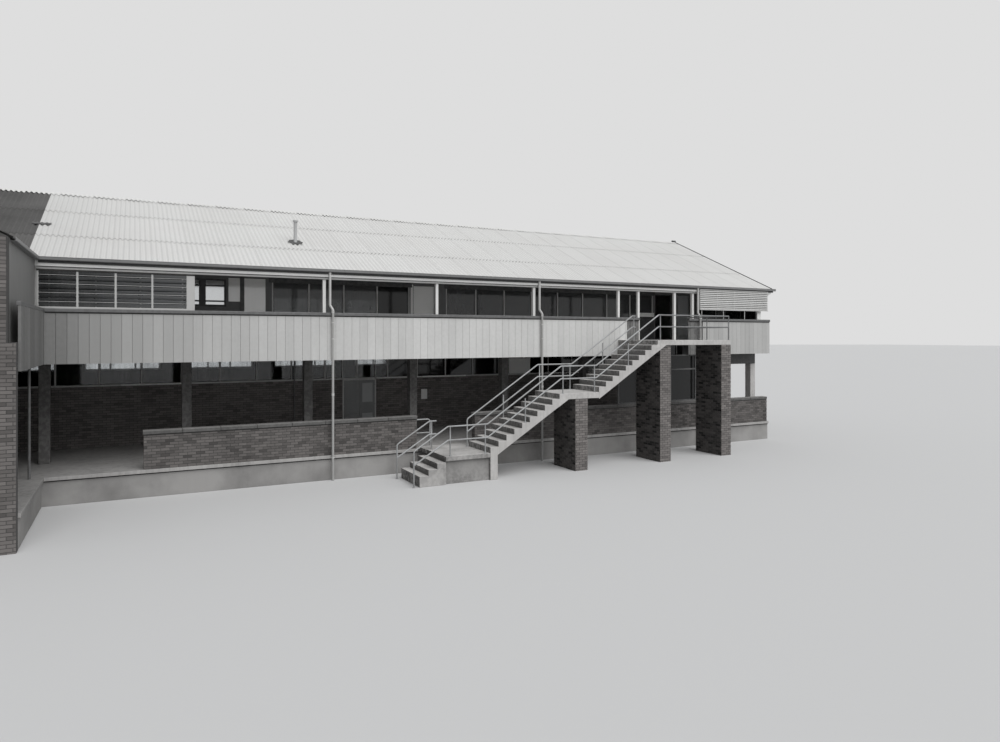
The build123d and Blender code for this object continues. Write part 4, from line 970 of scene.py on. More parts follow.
SILL = 2.745
LIGHT_MARGIN = 0.5
LIGHT_LOW, LIGHT_HIGH = 3.005, 4.020
WALL_FRONT = reach("ground_front_wall")[0].y
REAR = reach("ground_rear_wall")[1].y
door_low, door_high = reach("door_frame")
doorway = [(door_low.x, door_high.x)]
front_bricks = bmesh.new()
for x0, x1 in between(doorway, PARTY_X, END_X):
    lay_bricks(front_bricks, "x", x0, x1, GROUND_FLOOR, SILL, WALL_FRONT, -1)
lay_bricks(front_bricks, "x", BAYS * BAY, END_X, SILL, CEILING, WALL_FRONT, -1)
# The front wall stands in the shade of the verandah, so its bricks get a brighter tone range:
# painted light.
number_tones(front_bricks, -0.6, 1.1, 0.6)
finish_piece("front_wall_bricks", front_bricks, brick_clay)

rear_lights = [
    (x * BAY + LIGHT_MARGIN, (x + 1) * BAY - LIGHT_MARGIN) for x in range(-1, BAYS)]
rear_bricks = bmesh.new()
lay_bricks(rear_bricks, "x", PARTY_X, END_X, GROUND_FLOOR, LIGHT_LOW, REAR, 1, PROUD)
lay_bricks(rear_bricks, "x", PARTY_X, END_X, LIGHT_HIGH, CEILING, REAR, 1, PROUD)
for x0, x1 in between(rear_lights, PARTY_X, END_X):
    lay_bricks(rear_bricks, "x", x0, x1, LIGHT_LOW, LIGHT_HIGH, REAR, 1)
lay_bricks(rear_bricks, "y", WALL_FRONT, REAR, GROUND_FLOOR, CEILING, END_X, 1)
number_tones(rear_bricks, *BRICK_TONES)
finish_piece("rear_and_end_bricks", rear_bricks, brick_clay)

# %% [markdown]
# The roof is one pitch from eave to ridge. Its height at any distance from the front is
# needed by the gables, the party walls and the sheets, so it is worked out once, from the
# corners of the roof slope itself.

# %% Roof pitch
EAVE_HEIGHT = 2.280
SHEET_DEPTH = 0.054
slope_low, slope_high = reach("roof_front_new")
RIDGE_Y = slope_high.y
EAVE_Y = slope_low.y
EAVE_TOP = UPPER_FLOOR + EAVE_HEIGHT
FALL = (slope_high.z - EAVE_TOP) / (RIDGE_Y - EAVE_Y)
PITCH = math.atan(FALL)
WING_EAVE_X = reach("roof_wing")[1].x


def roof_under(y):
    """Underside of the roof at a distance from the front."""
    run = RIDGE_Y - EAVE_Y - abs(y - RIDGE_Y)
    return EAVE_TOP + run * FALL - SHEET_DEPTH / math.cos(PITCH)


print("roof pitch", round(math.degrees(PITCH), 1), "degrees")

# %% [markdown]
# Where the block carries on to the left, the part ends in plain party walls of the same
# brick. Walls that stopped at one level would leave a gap under the roof, so each brick is
# cut where a slope crosses it. The wall beside the wing meets two slopes, one after the
# other.

# %% Bricks of the party walls
WING_ENDS_Y = RIDGE_Y - 1.92
party_low, party_high = reach("party_walls")


def wing_wall_top(x):
    """Top of the party wall that closes the wing, which rises away from its eave."""
    return roof_under(EAVE_Y) + (WING_EAVE_X - x) * FALL


def side_top(y):
    """Top of the party wall that runs back along Y: level along the wing, then sloping."""
    return wing_wall_top(PARTY_X) if y < WING_ENDS_Y else roof_under(y)


party = bmesh.new()
lay_bricks(party, "y", party_low.y, REAR, GROUND, party_high.z, party_low.x, -1, PROUD, side_top)
lay_bricks(party, "x", party_low.x, party_high.x, GROUND, UPPER_FLOOR, party_low.y, -1)
lay_bricks(
    party, "x", party_low.x, 0.0, UPPER_FLOOR, party_high.z, party_low.y, -1, 0.0, wing_wall_top)
number_tones(party, *BRICK_TONES)
finish_piece("party_wall_bricks", party, brick_clay)
for node in ("low_walls", "stair_piers", "ground_front_wall", "ground_rear_wall",
             "ground_end_wall", "party_walls"):
    repaint(node, mortar)

# %% [markdown]
# The parapet is finished with precast coping stones about a metre long, bedded with open
# joints. One long bar with drawn joints would never show the gaps between worn ends, so
# each stone is a bar of its own. Their tops get a higher tone, and the bed under them,
# where they stand out past the bricks, is painted dark as their shadow.

# %% Coping stones
STONE_LENGTH = 1.05
STONE_JOINT = 0.003


def lengths(start, end, target):
    """Splits a run into equal lengths near a target."""
    count = max(1, round((end - start) / target))
    step = (end - start) / count
    return [(start + i * step, start + (i + 1) * step) for i in range(count)]


stones = bmesh.new()
# The bed under the stones is painted dark as their shadow.
coping_shadow = bmesh.new()
for low, high in solids_of("low_wall_copings"):
    bar(coping_shadow, low.x + 0.02, high.x - 0.02, wall_low.y - 0.010, wall_high.y + 0.010,
        low.z - 0.026, low.z + 0.004)
    for x0, x1 in lengths(low.x, high.x, STONE_LENGTH):
        bar(stones, x0 + STONE_JOINT, x1 - STONE_JOINT, low.y, high.y, low.z, high.z)
number_tones(stones, -0.2, 0.2)
add_tone(stones, lambda face: 1.3 if looks(face, "+z") else 0.0)
round_arrises(stones, 0.012)
finish_piece("coping_stones", stones, coping_concrete, ("low_wall_copings",))
finish_piece("coping_bed_painted_shadow", coping_shadow, dirt_and_painted_shade)

# %% [markdown]
# The windows stand on painted sills, two lengths to a bay along the front and one under
# each light of the rear wall. They are bars with small bevels, because a sill is a plain
# stone with a worn edge.

# %% Window sills
sills = bmesh.new()
for x0, x1 in between(doorway, PARTY_X, BAYS * BAY):
    for start, end in lengths(x0, x1, BAY / 2):
        bar(sills, start + STONE_JOINT, end - STONE_JOINT, WALL_FRONT - 0.045, WALL_FRONT + 0.075,
            SILL - 0.01, SILL + 0.05)
for x0, x1 in rear_lights:
    bar(sills, x0 - 0.05, x1 + 0.05, REAR - 0.08, REAR + 0.045,
        LIGHT_LOW - 0.05, LIGHT_LOW + 0.01)
number_tones(sills)
round_arrises(sills, 0.008)
finish_piece("window_sills", sills, trim_white)

# %% [markdown]
# The balustrade, the rear wall and the gable are clad in upright boards whose meeting edges
# are chamfered, so each joint reads as a thin dark line. Grooves in the material would have
# no depth at a low sun, so every board is a bar and its upright corners are bevelled.

# %% Laying boards
BOARD = 0.268
BOARD_GAP = 0.005
SLIVER = 0.02


def boards(bm, along, start, end, bottom, top, near, far, slope=None, phase=None):
    """Upright boards in a wall that runs along 'x' or 'y', between two faces."""
    phase = start if phase is None else phase
    place = phase + math.floor((start - phase) / BOARD + 0.001) * BOARD
    while place < end - 0.001:
        left = start if place < start + 0.001 else place + BOARD_GAP / 2
        right = end if place + BOARD > end - 0.001 else place + BOARD - BOARD_GAP / 2
        if right - left > SLIVER:
            corners = bar_along(bm, along, left, right, near, far, bottom, top)
            for v in corners if slope else ():
                if v.co.z > bottom + 0.01:
                    v.co.z = min(top, slope(v.co[RUN[along]]))
        place += BOARD


def chamfer_boards(bm, width, start=-math.inf, end=math.inf):
    """Chamfers the upright corners of every board between two distances along X."""
    upright = [
        e for e in bm.edges
        if start < e.verts[0].co.x < end
        and (e.verts[0].co - e.verts[1].co).xy.length < 0.001]
    round_arrises(bm, width, edges=upright)


print("boards are", round(BOARD * 1000), "mm wide")

# %% [markdown]
# The balustrade is a deep band of these boards. A tongue between them closes the joints:
# near the wing it lies deep and is painted dark, as dirt and the shade in the joint, and
# further on it lies shallow and pale. The wing keeps part of the sky off the boards near it,
# and that shade is painted into their tone, which falls off towards the wing; the boards of
# the end bay get a lower tone too. A material that darkened with distance would also darken
# the trims, so the faces carry it.

# %% Balustrade band
BAND_PHASE = 0.236
CHAMFER = 0.005
END_BAY_CHAMFER = 0.003
TONGUE_DEPTH = 0.42
SHALLOW = 0.012
SHORT = 0.01
DARK_TONGUES_UNTIL_X = 8.0
END_BAY_X = 23.4
END_BAY_TONE = 5.5
WING_SHADE_TONE = 15.0
WING_SHADE_REACH = 4.0


def tongue(bm, x0, x1, y0, y1, z0, z1):
    """The strip that closes the joints of some boards, just short of their ends."""
    bar(bm, x0, x1, y0, y1, z0 + 0.002, z1 - 0.002)


def wing_shade_and_end_bay_tone(face):
    """Painted shade taken from the tone of a board near the wing, and the lower tone of the end
    bay.
    """
    x = face.calc_center_median().x
    taken = WING_SHADE_TONE * math.exp(-x / WING_SHADE_REACH)
    return -taken - END_BAY_TONE if x > END_BAY_X else -taken


band = bmesh.new()
tongues = bmesh.new()
clean_tongues = bmesh.new()
for low, high in solids_of("band_front"):
    boards(band, "x", low.x, high.x, low.z, high.z, low.y, high.y, phase=BAND_PHASE)
    deep = (high.y - low.y) * TONGUE_DEPTH
    start = low.x + SHORT
    split = max(start, DARK_TONGUES_UNTIL_X)
    if split > start + SHORT:
        tongue(tongues, start, split, low.y + deep, high.y - deep, low.z, high.z)
    tongue(clean_tongues, split, high.x - SHORT, low.y + SHALLOW, high.y - SHALLOW, low.z, high.z)
finish_piece("clean_tongues", clean_tongues, beam_paint)
number_tones(band)
# The wing's shade is painted into the tone of the boards near it.
add_tone(band, wing_shade_and_end_bay_tone)
chamfer_boards(band, CHAMFER, end=END_BAY_X)
chamfer_boards(band, END_BAY_CHAMFER, start=END_BAY_X)
finish_piece("band_boards", band, boards_light, ("band_front",))

# %% [markdown]
# The band turns a corner at both ends, where its boards run along Y, so the same helper
# lays them the other way. Beside the stair head the boards are set back a little. They are
# older and darker, and wider chamfers make their joints broader.

# %% Returns and older boards
returns = bmesh.new()
for low, high in solids_of("band_returns"):
    boards(returns, "y", low.y, high.y, low.z, high.z, low.x, high.x)
    deep = (high.x - low.x) * TONGUE_DEPTH
    tongue(tongues, low.x + deep, high.x - deep, low.y + SHORT, high.y - SHORT, low.z, high.z)
number_tones(returns)
# The return beside the wing gets the same painted shade as the boards near it.
add_tone(returns, lambda face: -WING_SHADE_TONE if face.calc_center_median().x < END_BAY_X else 0.0)
chamfer_boards(returns, CHAMFER)
finish_piece("band_return_boards", returns, boards_light, ("band_returns",))
older = bmesh.new()
for low, high in solids_of("old_band_panels"):
    boards(older, "x", low.x, high.x, low.z, high.z, low.y, high.y, phase=BAND_PHASE)
    deep = (high.y - low.y) * TONGUE_DEPTH
    tongue(tongues, low.x + SHORT, high.x - SHORT, low.y + deep, high.y - deep, low.z, high.z)
number_tones(older)
chamfer_boards(older, 0.010)
finish_piece("older_boards", older, boards_old, ("old_band_panels",))
finish_piece("board_tongues", tongues, dirt_and_painted_shade)

# %% [markdown]
# The rear wall and the gable of the upper floor have thin boards nailed over the wall of
# the model. Each board is made too tall and its top points are pulled down to the slope of
# the roof, which needs no boolean and leaves every board whole.

# %% Cladding of the rear wall and the gable
CLADDING = 0.014
GABLE_FRONT = 0.21
ABOVE_ALL = 20.0
HEAD_LOW, HEAD_HIGH = 5.220, 6.370
VERANDAH = reach("inner_wall")[0].y
upper_lights = [(x * BAY + POST, (x + 1) * BAY - POST) for x in range(-1, BAYS)]
back = REAR + CLADDING
side = END_X + CLADDING
cladding = bmesh.new()
for z0, z1 in ((UPPER_FLOOR, HEAD_LOW), (HEAD_HIGH, roof_under(REAR) - 0.01)):
    boards(cladding, "x", PARTY_X, END_X, z0, z1, REAR, back, phase=0.0)
for x0, x1 in between(upper_lights, PARTY_X, END_X):
    boards(cladding, "x", x0, x1, HEAD_LOW, HEAD_HIGH, REAR, back)


def gable_top(y):
    """Top of the gable boards, just under the sheets."""
    return roof_under(y) - 0.004


for y0, y1, foot in (
        (VERANDAH, RIDGE_Y, UPPER_FLOOR), (RIDGE_Y, REAR, UPPER_FLOOR),
        (GABLE_FRONT, VERANDAH, EAVE_TOP - 0.012)):
    boards(cladding, "y", y0, y1, foot, ABOVE_ALL, END_X, side, gable_top)
number_tones(cladding)
chamfer_boards(cladding, 0.006)
finish_piece("wall_cladding", cladding, boards_light)
for node in ("upper_rear_wall", "upper_end_wall"):
    repaint(node, boards_light)

# %% [markdown]
# Trims are planed timber with rounded corners: the cap of the balustrade, the posts, the
# beam over them, the fascia and the barge boards. Softened copies do for all of these. A
# small moulding under the cap and a strip under the fascia are new bars, both painted dark
# as the shade of the board above them.

# %% Caps, posts, eave beam and fascia
softened_copy("cap_front", "cap_rail_front", trim_grey, 0.014)
softened_copy("cap_returns", "cap_rail_returns", trim_grey, 0.014)
# Painted shade: the moulding under the cap is dark as the shade of the cap above it.
cap_scotia_shade = bmesh.new()
for low, high in solids_of("cap_rail_front"):
    bar(cap_scotia_shade, low.x + 0.02, high.x - 0.02, -0.014, 0.004, low.z - 0.030, low.z + 0.002)
round_arrises(cap_scotia_shade, 0.006)
finish_piece("cap_scotia_painted_shade", cap_scotia_shade, dirt_and_painted_shade)
softened_copy("posts", "verandah_posts", trim_white, 0.008)
softened_copy("beam_over_posts", "eave_beam", beam_paint, 0.006)
beam_low = reach("eave_beam")[0]
# Painted shade: a thin dark strip under the fascia.
fascia_shade_strip = bmesh.new()
bar(fascia_shade_strip, beam_low.x + 0.05, END_X, beam_low.y - 0.006, beam_low.y + 0.002, 6.344, 6.364)
finish_piece("painted_shade_under_fascia", fascia_shade_strip, dirt_and_painted_shade)
softened_copy("fascia_boards", "fascia", trim_white, 0.004)
softened_copy("verge_boards", "barge_boards", trim_white, 0.004)

# %% [markdown]
# Corrugated fibre cement comes in sheets eight waves wide, laid to cover seven. A bump map
# would keep the eave straight, and here the waves show along the eave and the ridge. So a
# flat grid is bent into waves by a cosine, and tilted a few millimetres so that its lower
# and left edges lie over its neighbours.

# %% One corrugated sheet
WAVE = 0.146
SHEET_WAVES = 8
COVER = (SHEET_WAVES - 1) * WAVE
SHEET = 0.006
SEGMENTS = 6
SIDE_TILT = 0.003
END_TILT = 0.005


def one_sheet(bm, x0, low, high):
    """A waved sheet lying flat: X along the eave, Y up the slope, Z off the roof."""
    made = bmesh.ops.create_grid(
        bm, x_segments=SHEET_WAVES * SEGMENTS, y_segments=1, size=0.5)["verts"]
    for v in made:
        across, up = v.co.x + 0.5, v.co.y + 0.5
        wave = (SHEET_DEPTH - SHEET) / 2 * math.cos(2 * math.pi * across * SHEET_WAVES)
        tilt = SIDE_TILT * (1 - 2 * across) + END_TILT * (1 - 2 * up)
        v.co = (
            x0 + across * SHEET_WAVES * WAVE, low + up * (high - low),
            wave + tilt - SHEET_DEPTH / 2)
    return made


print("a sheet covers", round(COVER, 3), "m of the eave")

# %% [markdown]
# The rows lap each other up the slope. Bending every sheet point by point would take long,
# so only the first sheet of a row is bent, and it is then copied along the eave. Each copy
# gets a tone of its own.

# %% Rows of sheets
END_LAP = 0.150


def sheet_rows(start, end, length, laps):
    """Rows of sheets over a slope of a given length, still lying flat."""
    bm = bmesh.new()
    layer = bm.faces.layers.float.new("tone")
    edges = [0.0, *laps, length]
    for low, high in zip(edges, edges[1:]):
        top = min(length, high + END_LAP)
        first = one_sheet(bm, start, low, top)
        pattern = list({f for v in first for f in v.link_faces})
        for face in pattern:
            face[layer] = random.uniform(-1.0, 1.0)
        whole = pattern + list({e for f in pattern for e in f.edges}) + first
        for column in range(1, math.ceil((end - start) / COVER)):
            made = bmesh.ops.duplicate(bm, geom=whole)["geom"]
            bright = random.uniform(-1.0, 1.0)
            for item in made:
                if isinstance(item, bmesh.types.BMFace):
                    item[layer] = bright
            moved = [item for item in made if isinstance(item, bmesh.types.BMVert)]
            bmesh.ops.translate(bm, verts=moved, vec=(column * COVER, 0, 0))
    return bm


print("rows lap by", round(END_LAP * 1000), "mm")

# %% [markdown]
# The rows are cut at the verge, tipped up to the pitch, cut again along the valley where
# two slopes meet, and given their thickness last, so that every cut edge shows the sheet's
# thickness too.

# %% Cutting and tipping the sheets
def trim(bm, point, normal):
    """Cuts away everything on the side that the normal points to."""
    bmesh.ops.bisect_plane(
        bm, geom=bm.verts[:] + bm.edges[:] + bm.faces[:], dist=0.00001,
        plane_co=point, plane_no=normal, clear_outer=True)


def tip_up(bm, eave_y, turned=False):
    """Tips flat rows up to the pitch at the front eave, or at the rear one."""
    bmesh.ops.rotate(
        bm, verts=bm.verts, cent=(0, 0, 0), matrix=Matrix.Rotation(PITCH, 3, "X"))
    if turned:
        bmesh.ops.scale(bm, verts=bm.verts, vec=(1, -1, 1))
    bmesh.ops.translate(bm, verts=bm.verts, vec=(0, eave_y, EAVE_TOP))


def thicken(bm, thickness=SHEET):
    """Gives sheets their thickness, downwards from the drawn surface."""
    bmesh.ops.solidify(bm, geom=bm.faces[:], thickness=thickness)


SLOPE = (RIDGE_Y - EAVE_Y) / math.cos(PITCH)
print("the slope is", round(SLOPE, 3), "m long")

# %% [markdown]
# Just below each lap of the sheets lies a broken dark line: dirt that rain leaves there, and
# painted shadow of the lap's edge. It is on the surface, not a shape, so it goes into the
# material: a band round each lap line, thinned by noise. The lines are measured along Y, and
# the rear slope mirrors the front one.

# %% Dirt and painted shadow at the laps
LAP_LINES = (1.690, 3.930)
LAP_LINE_WIDTH = 0.022
BELOW_LAP = 0.012


def lap_dirt_and_shadow(material, distances):
    """Adds the broken dark line below each lap of the sheets: dirt and painted shadow."""
    tree = material.node_tree
    shader = tree.nodes["Principled BSDF"]
    clean = shader.inputs["Base Color"].links[0].from_socket
    place = tree.nodes.new("ShaderNodeTexCoord")
    axis = tree.nodes.new("ShaderNodeSeparateXYZ")
    wire(tree, place.outputs["Object"], axis.inputs[0])
    mask = 0.0
    for distance in distances:
        offset = math_node(tree, "SUBTRACT", axis.outputs["Y"], ORIGIN.y + distance)
        line = contrast(tree, math_node(tree, "ABSOLUTE", offset), LAP_LINE_WIDTH, LAP_LINE_WIDTH / 3)
        mask = math_node(tree, "MAXIMUM", mask, line)
    patchy = contrast(tree, object_noise(tree, (1.0, 1.0, 1.0), 1.5), 0.15, 0.60)
    mask = math_node(tree, "MULTIPLY", mask, math_node(tree, "MULTIPLY", patchy, 0.6))
    wire(tree, mix_colour(tree, mask, clean, shade(70, EARTH)), shader.inputs["Base Color"])


front_lines = [y - BELOW_LAP for y in LAP_LINES]
lap_dirt_and_shadow(roof_pale, front_lines + [2 * RIDGE_Y - y for y in front_lines])
lap_dirt_and_shadow(roof_dark, front_lines)
print("laps at", LAP_LINES, "m from the front")

# %% [markdown]
# The main roof has a newer pale part, an older dark part at the left, and the rear slope.
# All three are rows of the same sheets. The pale sheets are painted darker towards the wing
# as shade, as the boards below them are.

# %% Sheets of the main roof
ROOF_WING_SHADE_TONE = 14.0
VALLEY = Vector((1, 1, 0))
UP_LAPS = [(y - EAVE_Y) / math.cos(PITCH) for y in LAP_LINES]
JOIN_X = slope_low.x
VERGE_X = slope_high.x
corner = (WING_EAVE_X, EAVE_Y, 0)


def raise_front(bm, end_x):
    """Cuts rows at their right end, tips them up to the front eave, and cuts the valley."""
    trim(bm, (end_x, 0, 0), (1, 0, 0))
    tip_up(bm, EAVE_Y)
    trim(bm, corner, -VALLEY)
    thicken(bm)


def roof_wing_shade(face):
    """Painted shade taken from the tone of a sheet near the wing."""
    return -ROOF_WING_SHADE_TONE * math.exp(-face.calc_center_median().x / WING_SHADE_REACH)


new_roof = sheet_rows(JOIN_X, VERGE_X, SLOPE, UP_LAPS)
# Painted shade: the sheets nearest the wing get a lower tone.
add_tone(new_roof, roof_wing_shade)
raise_front(new_roof, VERGE_X)
finish_piece("sheets_front", new_roof, roof_pale, ("roof_front_new",), smooth=60)
old_roof = sheet_rows(PARTY_X, JOIN_X, SLOPE, UP_LAPS)
raise_front(old_roof, JOIN_X)
finish_piece("sheets_front_old", old_roof, roof_dark, ("roof_front_old",), smooth=60)
rear_roof = sheet_rows(PARTY_X, VERGE_X, SLOPE, UP_LAPS)
trim(rear_roof, (VERGE_X, 0, 0), (1, 0, 0))
tip_up(rear_roof, 2 * RIDGE_Y - EAVE_Y, turned=True)
thicken(rear_roof)
finish_piece("sheets_rear", rear_roof, roof_pale, ("roof_rear",), smooth=60)

# %% [markdown]
# The wing's slope turns the corner and meets the main one in a valley. Its sheets are
# made the same way, turned a quarter about the corner and cut along the valley line.

# %% Sheets of the wing
wing_low, wing_high = reach("roof_wing")
WING_SLOPE = (WING_EAVE_X - wing_low.x) / math.cos(PITCH)
wing_roof = sheet_rows(0.0, wing_high.y - wing_low.y, WING_SLOPE, UP_LAPS[:1])
tip_up(wing_roof, 0.0)
bmesh.ops.rotate(
    wing_roof, verts=wing_roof.verts, cent=(0, 0, 0), matrix=Matrix.Rotation(math.pi / 2, 3, "Z"))
bmesh.ops.translate(wing_roof, verts=wing_roof.verts, vec=(WING_EAVE_X, wing_low.y, 0))
trim(wing_roof, corner, VALLEY)
trim(wing_roof, (0, wing_high.y, 0), (0, 1, 0))
thicken(wing_roof)
finish_piece("sheets_wing", wing_roof, roof_dark, ("roof_wing",), smooth=60)

# %% [markdown]
# The ridge capping is moulded: its wings follow the waves of the sheets, fading to a
# smooth round roll along the top, and it comes in lengths that lap each other a little. A
# swept profile can't follow the waves, so a grid over the whole ridge is shaped point by
# point, and thickened.

# %% Ridge capping
CAP_REACH = 0.230
CAP_ROLL = 0.035
CAP_STEP = 0.010
CAP_RISE = 0.009
FADE_START, FADE_END = 0.05, 0.13
ridge = bmesh.new()
cap_waves = math.ceil((VERGE_X - PARTY_X) / WAVE)
made = bmesh.ops.create_grid(
    ridge, x_segments=cap_waves * 4, y_segments=12, size=0.5)["verts"]
for v in made:
    x = PARTY_X + (v.co.x + 0.5) * cap_waves * WAVE
    out = v.co.y * 2 * CAP_REACH
    rounded = math.hypot(out, CAP_ROLL) - CAP_ROLL
    fade = min(1.0, max(0.0, (abs(out) - FADE_START) / (FADE_END - FADE_START)))
    wave = fade * (SHEET_DEPTH / 2) * (math.cos(2 * math.pi * (x - JOIN_X) / WAVE) - 1)
    step = CAP_STEP * (1 - 2 * ((x - PARTY_X) / COVER % 1.0))
    v.co = (
        x, RIDGE_Y + out * math.cos(PITCH),
        slope_high.z - rounded * math.sin(PITCH) + wave + step + CAP_RISE)
trim(ridge, (VERGE_X, 0, 0), (1, 0, 0))
thicken(ridge, 0.007)
finish_piece("ridge_capping", ridge, roof_pale, ("ridge_cap",), smooth=60)

# %% [markdown]
# The open ends of the sheets at the verge are closed by a round moulding, and a short stub
# of pipe closes the end of the ridge. Both are round bars.

# %% Verge roll
VERGE_ROLL = 0.020
RIDGE_STUB = 0.055
roll_x = VERGE_X - 0.018
crest = slope_high.z + 0.012
verge_roll = bmesh.new()
round_bar(verge_roll, (roll_x, EAVE_Y, EAVE_TOP + 0.012), (roll_x, RIDGE_Y, crest), VERGE_ROLL)
round_bar(verge_roll, (VERGE_X - 0.20, RIDGE_Y, crest + 0.030),
          (VERGE_X + 0.01, RIDGE_Y, crest + 0.030), RIDGE_STUB)
finish_piece("verge_roll", verge_roll, dark_finish_and_painted_shade, smooth=50)

# %% [markdown]
# Rain is caught by a steel gutter with a rolled lip, hung on straps from the fascia. The
# roll stiffens the sheet, a soldered plate closes the end, and a moulding covers the joint
# between the gutter and the white fascia, painted dark as the shade under the gutter. The
# gutter itself is a softened copy, and the rest is bars.

# %% Gutters
GUTTER_START = 0.10
GUTTER_FRONT = -0.105
FIRST_STRAP = 0.60
STRAP_PITCH = 0.99
FASCIA_FRONT = reach("fascia")[0].y
gutter_low, gutter_high = reach("gutters")
softened_copy("gutter_runs", "gutters", gutter_paint, 0.003)
hangers = bmesh.new()
round_bar(hangers, (GUTTER_START, GUTTER_FRONT, EAVE_TOP),
          (gutter_high.x, GUTTER_FRONT, EAVE_TOP), 0.007)
place = FIRST_STRAP
while place < gutter_high.x:
    bar(hangers, place, place + 0.025, GUTTER_FRONT, FASCIA_FRONT,
        EAVE_TOP - 0.012, EAVE_TOP - 0.008)
    place += STRAP_PITCH
bar(hangers, gutter_high.x - 0.003, gutter_high.x, GUTTER_FRONT - 0.004, FASCIA_FRONT,
    gutter_low.z - 0.002, EAVE_TOP + 0.004)
finish_piece("gutter_roll_and_straps", hangers, gutter_paint, smooth=50)
# Painted shade: a dark moulding under the gutter.
mould = bmesh.new()
bar(mould, GUTTER_START, gutter_high.x - 0.06, FASCIA_FRONT - 0.030, FASCIA_FRONT + 0.002,
    EAVE_TOP - 0.155, EAVE_TOP - 0.088)
round_arrises(mould, 0.012, 2)
finish_piece("gutter_moulding_painted_shade", mould, dark_finish_and_painted_shade)

# %% [markdown]
# The downpipes are drawn steel tube with a swan neck round the cap of the balustrade. The
# bends come from the model. The lengths are pushed into each other, so each joint has a
# wider socket, and thin straps hold the pipe to the boards and to the ledge. Below the cap
# the pipes are splashed and darker. Two thinner pipes run down beside the wing and along
# the front wall.

# %% Downpipes
PIPE_AT = (8.160, 16.090, 24.020)
PIPE_Y = -0.080
PIPE_RADIUS = 0.040
PIPE_JOINTS = ((5.200, 5.285), (2.560, 2.640))
PIPE_STRAPS = (4.90, 4.38, 0.58)
SPLASHED_TONE = -1.1


def upright(bm, x, y, z0, z1, radius, sides):
    """A round bar that stands upright."""
    round_bar(bm, (x, y, z0), (x, y, z1), radius, sides)


def splashes(face):
    """What splashes take from the tone of a downpipe below the cap of the balustrade."""
    return SPLASHED_TONE if face.calc_center_median().z < UPPER_FLOOR + 0.8 else 0.0


pipes = merged_copy("downpipes")
add_tone(pipes, splashes)
finish_piece("rainwater_pipes", pipes, pipe_white, ("downpipes",), smooth=40)
sockets = bmesh.new()
outlet = EAVE_TOP - 0.09
for x in PIPE_AT:
    for low, high in PIPE_JOINTS:
        upright(sockets, x, PIPE_Y, low, high, PIPE_RADIUS + 0.007, 24)
    for z in PIPE_STRAPS:
        upright(sockets, x, PIPE_Y, z - 0.015, z + 0.015, PIPE_RADIUS + 0.003, 24)
        bar(sockets, x - 0.060, x + 0.060, PIPE_Y + 0.020, PIPE_Y + 0.026, z - 0.015, z + 0.015)
    upright(sockets, x - 0.08, PIPE_Y + 0.055, outlet - 0.05, outlet, PIPE_RADIUS + 0.006, 24)
finish_piece("pipe_sockets", sockets, pipe_white, smooth=40)
thin_pipes = bmesh.new()
upright(thin_pipes, -0.10, -0.02, GROUND, UPPER_FLOOR, 0.036, 20)
upright(thin_pipes, 8.02, WALL_FRONT - 0.05, GROUND_FLOOR, CEILING, 0.028, 16)
finish_piece("thin_pipes", thin_pipes, trim_grey, smooth=40)

# %% [markdown]
# A drain vent comes up through the roof. Sheet lead is dressed round it and over the waves
# of the roof, which gives the flashing its scalloped edge: a disc whose radius swings in
# and out does that. A second strip of lead, a small waved grid, covers the place where the
# old slope and the new one meet.

# %% Vent and flashings
VENT = (7.480, 2.300)
SCALLOPS = 8
STRIP_WAVES = 4


def roof_over(y):
    """Level of the crests of the sheets at a distance from the front."""
    return EAVE_TOP + (y - EAVE_Y) * FALL


softened_copy("drain_vent", "vent_pipe", zinc, 0.003, smooth=40)
lead = bmesh.new()
skirt = bmesh.ops.create_circle(lead, cap_ends=True, segments=48, radius=0.24)["verts"]
for v in skirt:
    v.co *= 1 + 0.09 * math.cos(SCALLOPS * math.atan2(v.co.y, v.co.x))
bmesh.ops.rotate(lead, verts=skirt, cent=(0, 0, 0), matrix=Matrix.Rotation(PITCH, 3, "X"))
bmesh.ops.translate(lead, verts=skirt, vec=(*VENT, roof_over(VENT[1]) + 0.014))
strip = bmesh.ops.create_grid(lead, x_segments=24, y_segments=1, size=0.5)["verts"]
for v in strip:
    across, up = v.co.x + 0.5, v.co.y + 0.5
    y = 2.50 + 0.16 * up
    wave = 0.010 * math.cos(2 * math.pi * STRIP_WAVES * across)
    v.co = (-0.34 + 0.50 * across, y, roof_over(y) + 0.022 - 0.010 * up + wave)
thicken(lead, 0.004)
finish_piece("lead_flashings", lead, dark_finish_and_painted_shade, smooth=40)

# %% [markdown]
# The back wall of the verandah is sheeted and painted a dark colour. The two sheets beside
# the screen have gloss enamel. Its shine could be faked with a brighter colour, but that
# would be wrong from the side, so the shader gets a clear coat that picks up the sky. The
# wall of the wing is one plain sheet.

# %% Verandah wall and gloss sheets
def on_wall(bm, x0, x1, z0, z1, proud=0.012):
    """A board or sheet that stands proud of the verandah wall."""
    bar(bm, x0, x1, VERANDAH - proud, VERANDAH + 0.002, z0, z1)


repaint("inner_wall", wall_dark)
softened_copy("wing_sheet", "wing_wall_panel", wall_wing, 0.004)
repaint("verandah_ceiling", wall_panel)
gloss_sheet = finish("gloss_sheet", shade(250, CREAM), shade(232, CREAM), 0.15, 0.4,
                     rough=(0.10, 0.18), grain_scale=70, bump=0.02)
enamel = gloss_sheet.node_tree.nodes["Principled BSDF"]
enamel.inputs["Specular IOR Level"].default_value = 1.0
enamel.inputs["Coat Weight"].default_value = 1.0
enamel.inputs["Coat IOR"].default_value = 1.6
enamelled = bmesh.new()
on_wall(enamelled, 5.27, 5.64, 5.63, 6.42)
on_wall(enamelled, 5.78, 6.48, 5.30, 6.42)
round_arrises(enamelled, 0.003)
finish_piece("enamelled_sheets", enamelled, gloss_sheet)

